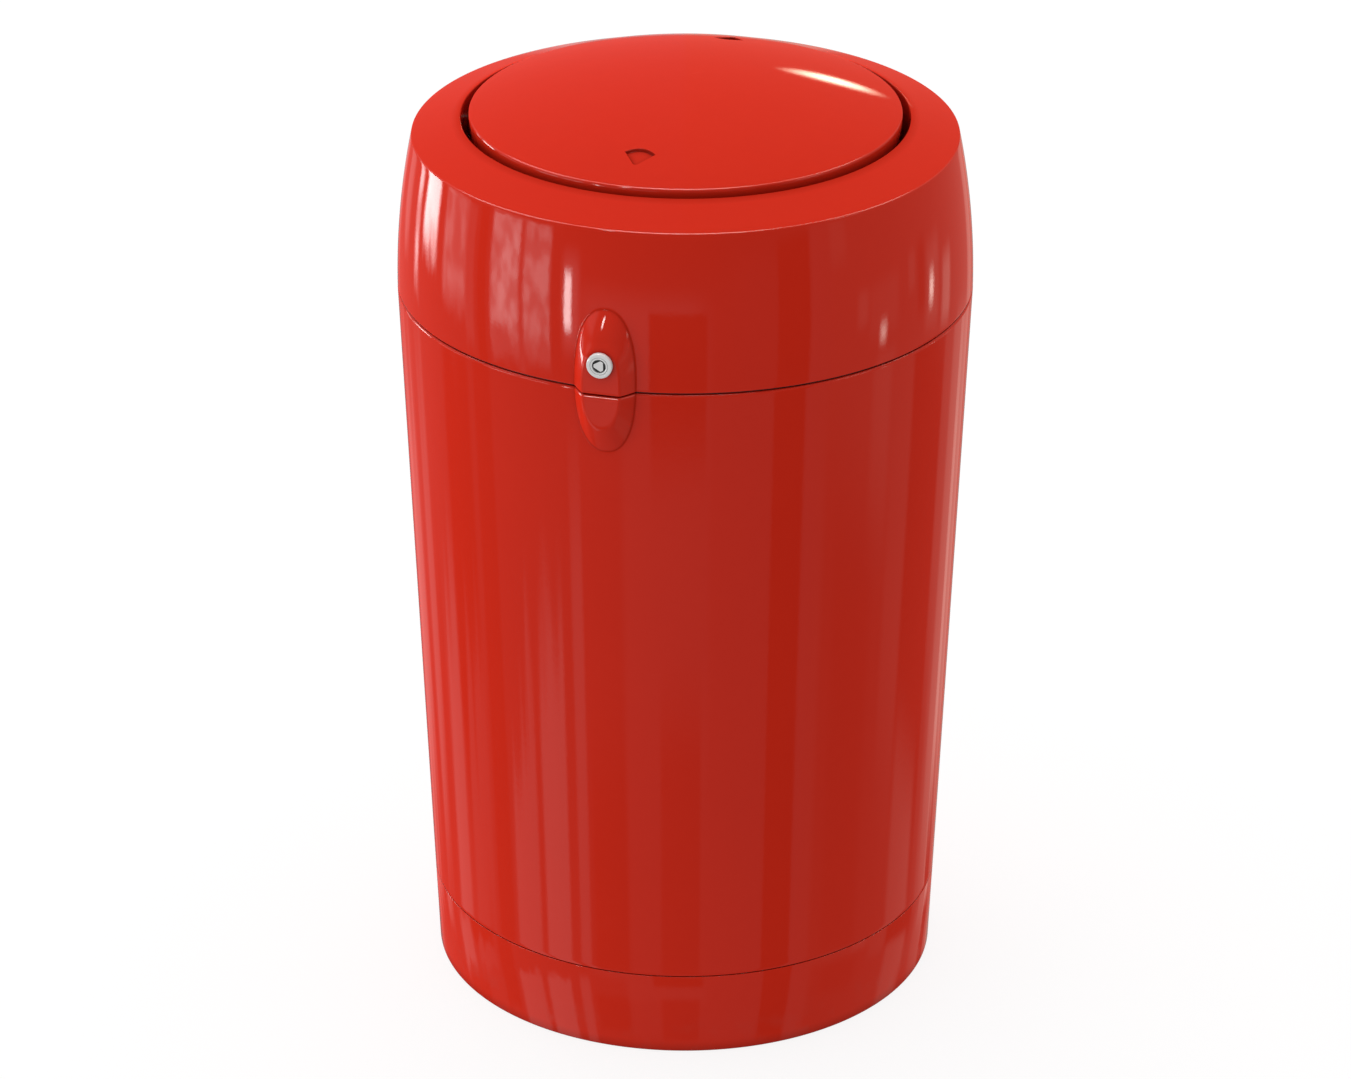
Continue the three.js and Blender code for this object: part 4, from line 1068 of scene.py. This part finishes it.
CAM_X = -27  # far end of the cam, with its pin
cam = arc(8, -90, 90, 20, (0, LOCK_Z)) + arc(6, 90, 270, 16, (CAM_X, LOCK_Z))
cam_pin = [(0, 235.0), (3.0, 235.0, 0.1), (3.0, 241.4, 0.7), (0, 241.4)]
piece("cam_hook", "lock_core", "zinc_plated", [prism(cam, "Y", -236.3, -233.5)], bevel=0.35,
      add=[turned(cam_pin, 32, axis="Y", centre=(CAM_X, 0, LOCK_Z))],
      cut=[rod(4.5, 232, 238, "Y", LOCK, 40)])
cam_screw = [(0, 230.6), (5.2, 230.6, 1.2), (7.2, 232.0, 0.6), (7.2, 233.1, 0.2),
             (2.0, 233.1, 0.1), (2.0, 240.0, 0.4), (0, 240.0)]
slots = [block(-across, across, -231.6, -229.0, LOCK_Z - up, LOCK_Z + up)
         for across, up in ((4.2, 0.6), (0.6, 4.2))]
piece("cam_screw", "lock_core", "stainless",
      [turned(cam_screw, 40, 0.3, axis="Y", centre=LOCK)], cut=slots)

# ---- liner
LINER_BOTTOM, LINER_R = 62.0, 198.0
LINER_SHEET = 1.6
BEADS = (165.0, 505.0)  # heights of the two swaged beads
LINER_RIVET_YS, LINER_RIVET_Z = (-44, 44), 596
LINER_FLOOR_TOP = 63.8


def liner_r(z):
    return LINER_R + 4.0 * (z - LINER_BOTTOM) / 549.5


def beaded_r(z):
    return liner_r(z) + 1.6 * sum(math.exp(-(((z - bead) / 4.5) ** 2)) for bead in BEADS)


# stations every 2.5 mm near a bead only; none of them falls on a multiple of 20 mm
wall = [(beaded_r(z), float(z)) for z in np.arange(71.0, 606.0, 2.5)
        if z % 20 == 0 or min(abs(z - bead) for bead in BEADS) <= 16]
bucket = [(0.0, LINER_BOTTOM)]
bucket += soften([(150.0, LINER_BOTTOM, 0), (LINER_R, LINER_BOTTOM, 4.0),
                  (liner_r(64.5), 68.5, 0)], 4.0, 5, closed=False)[1:]
bucket += wall
bucket += arc(3.0, -150, 180, 20, (204.4, 614.9))  # rolled rim
bucket += [(radius - LINER_SHEET, z) for radius, z in reversed(wall)]
bucket += soften([(liner_r(68) - LINER_SHEET, 68.0, 0), (196.4, LINER_FLOOR_TOP, 3.0),
                  (150.0, LINER_FLOOR_TOP, 0)], 3.0, 4, closed=False)
bucket += [(0.0, LINER_FLOOR_TOP)]
piece("liner_bucket", "liner", "galvanised", [lathe(bucket, 180)], sharp=50,
      cut=[rod(2.8, *span(sign, 185, 205), "X", (0, y, LINER_RIVET_Z), 24)
           for _, sign in SIDES for y in LINER_RIVET_YS])

handle_outline = soften([  # y, z, corner radius
    (-50, 585), (-38, 585), (-38, 624, 12), (-24, 641, 10), (24, 641, 10), (38, 624, 12),
    (38, 585), (50, 585), (50, 628, 22), (30, 652, 18), (-30, 652, 18), (-50, 628, 22),
], 4.5, 6)
handle_rivet = [(0, -9.6), (2.4, -9.6, 0.3), (2.4, 0.0, 0.1), (4.4, 0.0, 0.2), (3.9, 0.9, 0.6),
                (2.0, 1.6, 1.0), (0, 1.6)]
for side, sign in SIDES:
    low, high = span(sign, 189.9, 192.9)
    piece(f"liner_handle_{side}", "liner", "zinc_plated",
          [prism(handle_outline, "X", low, high)], bevel=0.7,
          cut=[rod(2.8, low - 2, high + 2, "X", (0, y, LINER_RIVET_Z), 24)
               for y in LINER_RIVET_YS])
    for end, y in zip(("front", "rear"), LINER_RIVET_YS):
        seat = towards((-sign, 0, 0), (sign * 189.6, y, LINER_RIVET_Z))
        piece(f"handle_rivet_{side}_{end}", "liner", "zinc_plated",
              [place(turned(handle_rivet, 32, 0.3), seat)])


# ---- floor (metres)
def pale_floor():
    """Pale paint that glows a little, so that it stays nearly white."""
    mat = bpy.data.materials.new("pale_floor")
    net = Shader(mat)
    coord = net.node("TexCoord").outputs["Object"]
    tone = net.ramp(net.noise(coord, scale=0.8, detail=3.0), to=(0.93, 0.95))
    paint = net.node("BsdfDiffuse", {"Color": net.join_rgb(tone, tone, tone)}).outputs[0]
    glow = net.node("Emission", {"Color": rgb(1, 1, 1), "Strength": 1.04}).outputs[0]
    glow_share = 0.80
    net.node("OutputMaterial", {"Surface": net.mix_shader(glow_share, paint, glow)})
    return mat


FLOOR_Z = -0.0003
FLOOR_RADII = (0.6, 1.5, 6.0, 30.0)
FLOOR_SEGS = 96
verts = [(0.0, 0.0, FLOOR_Z)]
for radius in FLOOR_RADII:
    verts += [(radius * math.cos(TAU * i / FLOOR_SEGS), radius * math.sin(TAU * i / FLOOR_SEGS),
               FLOOR_Z) for i in range(FLOOR_SEGS)]
faces = []
for i in range(FLOOR_SEGS):
    j = (i + 1) % FLOOR_SEGS
    faces.append((0, 1 + i, 1 + j))
    for k in range(len(FLOOR_RADII) - 1):
        row, after = 1 + k * FLOOR_SEGS, 1 + (k + 1) * FLOOR_SEGS
        faces.append((row + i, after + i, after + j, row + j))
floor_material = pale_floor()
floor_mesh = bpy.data.meshes.new("floor")
floor_mesh.from_pydata(verts, [], faces)
floor_mesh.materials.append(floor_material)
floor = link("floor", floor_mesh)
floor.visible_glossy = False
floor.visible_diffuse = False

# ---- studio light
# Azimuths are in degrees round the object from the camera's direction, positive to the right;
# elevations are above the horizon. The front wall is the one on the camera's side. A panel is
# (from azimuth, to azimuth, from elevation, to elevation, level, azimuth softness, elevation
# softness), and may end with a lean: elevation gained per degree of azimuth.
# Later panels cover earlier ones.
CAMERA_AZ, CAMERA_EL = 15.5, 25.768
PANELS = [
    # ceiling and far wall, with the bright strips overhead
    (-185, -62, 8, 95, 0.45, 14, 14), (62, 150, 8, 95, 0.40, 14, 14),
    (-185, 185, 70, 95, 6.5, 4, 4), (-144, -112, 40, 72, 5.0, 4, 6),
    (-112, -80, 44, 72, 1.5, 8, 6), (108, 143, 40, 72, 4.0, 4, 6),
    (-214, -150, -60, 66, 0.095, 6, 8), (150, 214, -60, 66, 0.100, 6, 8),
    (-214, -163, -60, -22, 0.14, 8, 3), (163, 214, -60, -22, 0.26, 8, 3),
    (-214, -163, -22, -12, 0.36, 8, 4), (163, 214, -22, -12, 0.36, 8, 4),
    # left wall, right wall, lower left wall
    (-160, -50, -60, 3, 0.11, 4, 6), (50, 160, -60, 3, 0.19, 2, 6),
    (-160, -128, -60, -28, 0.055, 8, 4),
    # front wall: brighter low down, fading upwards
    (-50, 50, -6, 8, 0.06, 3, 12), (-42, 6, -27, -9, 0.33, 14, 6),
    (20, 36, -24, -3, 0.11, 12, 12),
    # dark doorway and dark post in the front wall
    (-14, 8.5, -29.5, -11, 0.02, 1.6, 1.2), (36.2, 49.4, -40, -1.5, 0.004, 1.0, 2.5),
    # small high lamps
    (-35.5, -32.3, 25, 41, 22.0, 2.0, 9), (60, 74, 6, 16, 2.4, 6, 5),
    # right wall: small lamps and their glow
    (59, 66, -8, 0, 0.30, 3, 4), (71, 76, -18, -13.5, 0.42, 3, 2.5),
    (77, 92, -20, -13.5, 0.30, 4, 3), (82.6, 85.8, -20.7, -18.9, 5.6, 2.2, 2.8),
    (98, 102, -17, -13, 0.34, 2, 2), (104, 108.5, -20, -13, 0.10, 2.5, 3),
    (110, 119, -22, -14.5, 0.40, 4, 3), (112.2, 115.0, -19.6, -17.5, 6.2, 2.0, 3.0),
    (122.5, 129.5, -22.5, -17.5, 0.70, 3, 2.5), (60, 135, -42, -28.6, 0.115, 4, 2),
    (106, 130, -31, -25, 0.045, 3, 2.5), (82, 92, -28.5, -22, 0.32, 4, 2.5),
    (66, 86, -34.5, -29.5, 0.075, 6, 2), (94, 106, -31, -27, 0.20, 4, 2.5),
    (108, 126, -60, -30.5, 0.28, 4, 1.6), (139, 147.5, -30.5, -23, 0.34, 3, 3),
    (148, 153.5, -31.0, -24, 0.66, 2.4, 4), (153, 161.5, -29, -10, 0.40, 3, 3),
    (149, 158, -36, -29.5, 0.05, 3, 2),
    # left wall: tall bright windows with dark posts between
    (-82.3, -54.3, -19.5, -2.0, 1.75, 2.0, 8.0), (-78.2, -69.2, -17.5, -3.5, 2.35, 2.0, 4.0),
    (-68.4, -66.0, -26, -1, 0.34, 1.6, 4), (-80.7, -72.7, -22.0, -18, 0.55, 4, 3),
    (-53.4, -49.5, -24, 0, 0.08, 1.4, 2), (-48.6, -42.1, -18, -5.0, 0.75, 3.5, 6.0),
    (-47.9, -45.0, -15.6, -7.2, 12.5, 1.2, 2.6), (-89.3, -84.8, -25, -2, 0.02, 1.2, 3),
    (-95.5, -86.0, -38, -24, 0.03, 2, 2), (-96.5, -91.5, -22, -6, 0.33, 1.5, 3),
    (-111, -96.5, -18.5, -5, 1.0, 2.5, 5.0), (-104.5, -100.5, -15, -9, 0.60, 2.5, 3.0),
    (-128.0, -116.5, -15.5, 2, 7.6, 3.0, 6.0), (-136.5, -132.5, -19.5, 0, 2.5, 2.5, 5),
    (-153, -145, -20, -12, 0.36, 4, 3), (-164, -149, -29.5, -24.5, 0.28, 5, 3),
    (-142, -135, -30.5, -25.5, 0.28, 3, 3),
    # window light lying on the floor, and dark floor between
    (-127, -116.5, -34, -28.5, 0.36, 3, 2), (-116, -99, -31, -25.5, 0.02, 3, 2.5),
    (-112, -98, -33, -29.8, 0.20, 3, 1.6),
    (-83.5, -69.8, -60, -27.2, 0.50, 2.2, 1.3, 0.056),
    (-66.6, -54.0, -60, -27.2, 0.62, 1.8, 1.7, 0.056),
    (-49.2, -44.2, -60, -29.3, 0.44, 1.6, 2.6), (-42, -25.5, -40, -32.4, 0.03, 3, 2),
    (-25, 36, -42, -26, 0.155, 3, 3), (-26, 10, -33, -26, 0.20, 4, 3),
    (-10.5, 7, -42, -32.2, 0.055, 2, 1.6), (-160, -108, -60, -34.5, 0.035, 8, 4),
    (124, 160, -60, -34.5, 0.07, 8, 4), (-14, 8.5, -29.3, -22, 0.02, 1.6, 1.0),
    (36.2, 49.4, -42, -22, 0.012, 1.0, 2.5),
]
BASE_LEVEL = 0.10
PANEL_TRACE = 1e-7  # share of the level so far that is added to the angles
SWAY_AZ, SWAY_EL = 0.9, 5.0  # how far the wavy glass bends the view, in degrees
LAMP_AZ, LAMP_EL, LAMP_HALF = 170.6, 12.7, (2.7, 1.8)  # round warm lamp on the far side
LAMP_COLOUR = rgb(9.6, 8.6, 6.3)
WARM_GREEN, WARM_BLUE = 0.93, 0.82  # tint of the light from the right
SOFT_SLOPE, SOFT_LEVEL = (-0.255, 0.46, 0.18), 0.88  # diffuse light: gradient and middle


def band(net, value, low, high, softness):
    """1 between two limits, with soft edges."""
    half = softness / 2
    return net.mul(net.ramp(value, over=(low - half, low + half), kind="SMOOTHSTEP"),
                   net.ramp(value, over=(high + half, high - half), kind="SMOOTHSTEP"))


def studio_world():
    world = bpy.data.worlds.new("studio")
    scene.world = world
    net = Shader(world)
    world.cycles.sampling_method = "NONE"
    # the lights stay with the camera, as when a part stands on a turntable
    seen = net.node("VectorMath", {0: net.node("TexCoord").outputs["Camera"]},
                    operation="NORMALIZE").outputs[0]
    seen = net.xyz(seen)
    cosine, sine = math.cos(math.radians(CAMERA_EL)), math.sin(math.radians(CAMERA_EL))
    away = net.add(net.mul(seen[2], cosine), net.mul(seen[1], sine))
    above = net.math("SUBTRACT", net.mul(seen[1], cosine), net.mul(seen[2], sine))
    direction = net.join_xyz(seen[0], away, above)
    parts = net.xyz(direction)
    azimuth = net.math("ARCTAN2", parts[0], net.mul(parts[1], -1.0))
    azimuth = net.mul(azimuth, 180 / math.pi)
    elevation = net.mul(net.math("ARCSINE", parts[2]), 180 / math.pi)
    # the windows on the left are seen through slightly wavy glass
    side = net.ramp(azimuth, over=(-44.0, -56.0))
    spot = net.join_xyz(x=net.mul(azimuth, 0.24), y=net.mul(elevation, 0.22), z=3.0)
    sway = net.mul(side, net.math("SUBTRACT", net.noise(spot, scale=1.0), 0.5))
    wavy_az = net.add(azimuth, net.mul(sway, SWAY_AZ))
    wavy_el = net.add(elevation, net.mul(sway, SWAY_EL))
    level = BASE_LEVEL
    for az0, az1, el0, el1, value, soft_az, soft_el, *lean in PANELS:
        # a trace of the level so far keeps the panels in order and the shader small
        x = net.muladd(level, PANEL_TRACE, wavy_az)
        y = net.muladd(level, PANEL_TRACE, wavy_el)
        for slope in lean:
            y = net.muladd(x, -slope, y)
        inside = net.mul(band(net, x, az0, az1, soft_az), band(net, y, el0, el1, soft_el))
        level = net.mixf(inside, level, value)
    # fairly bright panels on the left are uneven, like daylight through a window
    spot = net.join_xyz(x=net.mul(azimuth, 0.20), y=net.mul(elevation, 0.27), z=0.0)
    uneven = net.ramp(net.noise(spot, scale=1.0, detail=1.0), over=(0.34, 0.64),
                      to=(0.58, 1.32), kind="SMOOTHSTEP")
    bright = net.mul(net.ramp(level, over=(0.6, 1.0)), net.ramp(level, over=(3.2, 2.6)))
    level = net.mul(level, net.mixf(net.mul(bright, side), 1.0, uneven))
    dx = net.math("DIVIDE", net.math("SUBTRACT", azimuth, LAMP_AZ), LAMP_HALF[0])
    dy = net.math("DIVIDE", net.math("SUBTRACT", elevation, LAMP_EL), LAMP_HALF[1])
    distance = net.math("SQRT", net.add(net.mul(dx, dx), net.mul(dy, dy)))
    lamp = net.ramp(distance, over=(1.5, 0.0), kind="SMOOTHSTEP")
    warm = net.ramp(azimuth, over=(50.0, 62.0))
    walls = net.join_rgb(level, net.mul(level, net.mixf(warm, 1.0, WARM_GREEN)),
                         net.mul(level, net.mixf(warm, 1.0, WARM_BLUE)))
    mirrored = net.background(net.mix(lamp, walls, LAMP_COLOUR), strength=1.0)
    soft = net.node("VectorMath", {0: direction, 1: SOFT_SLOPE}, operation="DOT_PRODUCT")
    soft = net.add(soft.outputs["Value"], SOFT_LEVEL)
    diffuse = net.background(rgb(1, 1, 1), soft)
    white = net.background(rgb(1, 1, 1), strength=1.0)
    path = net.node("LightPath").outputs
    unmirrored = net.mix_shader(path["Is Camera Ray"], diffuse, white)
    surface = net.mix_shader(path["Is Glossy Ray"], unmirrored, mirrored)
    net.node("OutputWorld", {"Surface": surface})


studio_world()
scene.view_settings.view_transform = "Standard"
scene.view_settings.look = "None"
scene.view_settings.exposure = 0.0
scene.view_settings.gamma = 1.0

# ---- camera (metres)
CAMERA_DISTANCE, CAMERA_HEIGHT = 4.2047, 2.424  # distance from the axis, along the floor
CAMERA_ROLL = 0.0017
cam_data = bpy.data.cameras.new("camera")
cam_data.sensor_width = 36.0
cam_data.sensor_fit = "HORIZONTAL"
cam_data.lens = 139.6991858
cam_data.shift_x = -0.00695780903
cam_data.shift_y = 7.4019245e-5
cam_data.clip_start, cam_data.clip_end = 0.05, 100.0
camera = link("camera", cam_data)
turn = math.radians(CAMERA_AZ)
camera.matrix_world = (
    Matrix.Translation((CAMERA_DISTANCE * math.sin(turn), -CAMERA_DISTANCE * math.cos(turn),
                        CAMERA_HEIGHT))
    @ Matrix.Rotation(turn, 4, "Z")
    @ Matrix.Rotation(math.radians(90 - CAMERA_EL), 4, "X")
    @ Matrix.Rotation(CAMERA_ROLL, 4, "Z")
)
scene.camera = camera
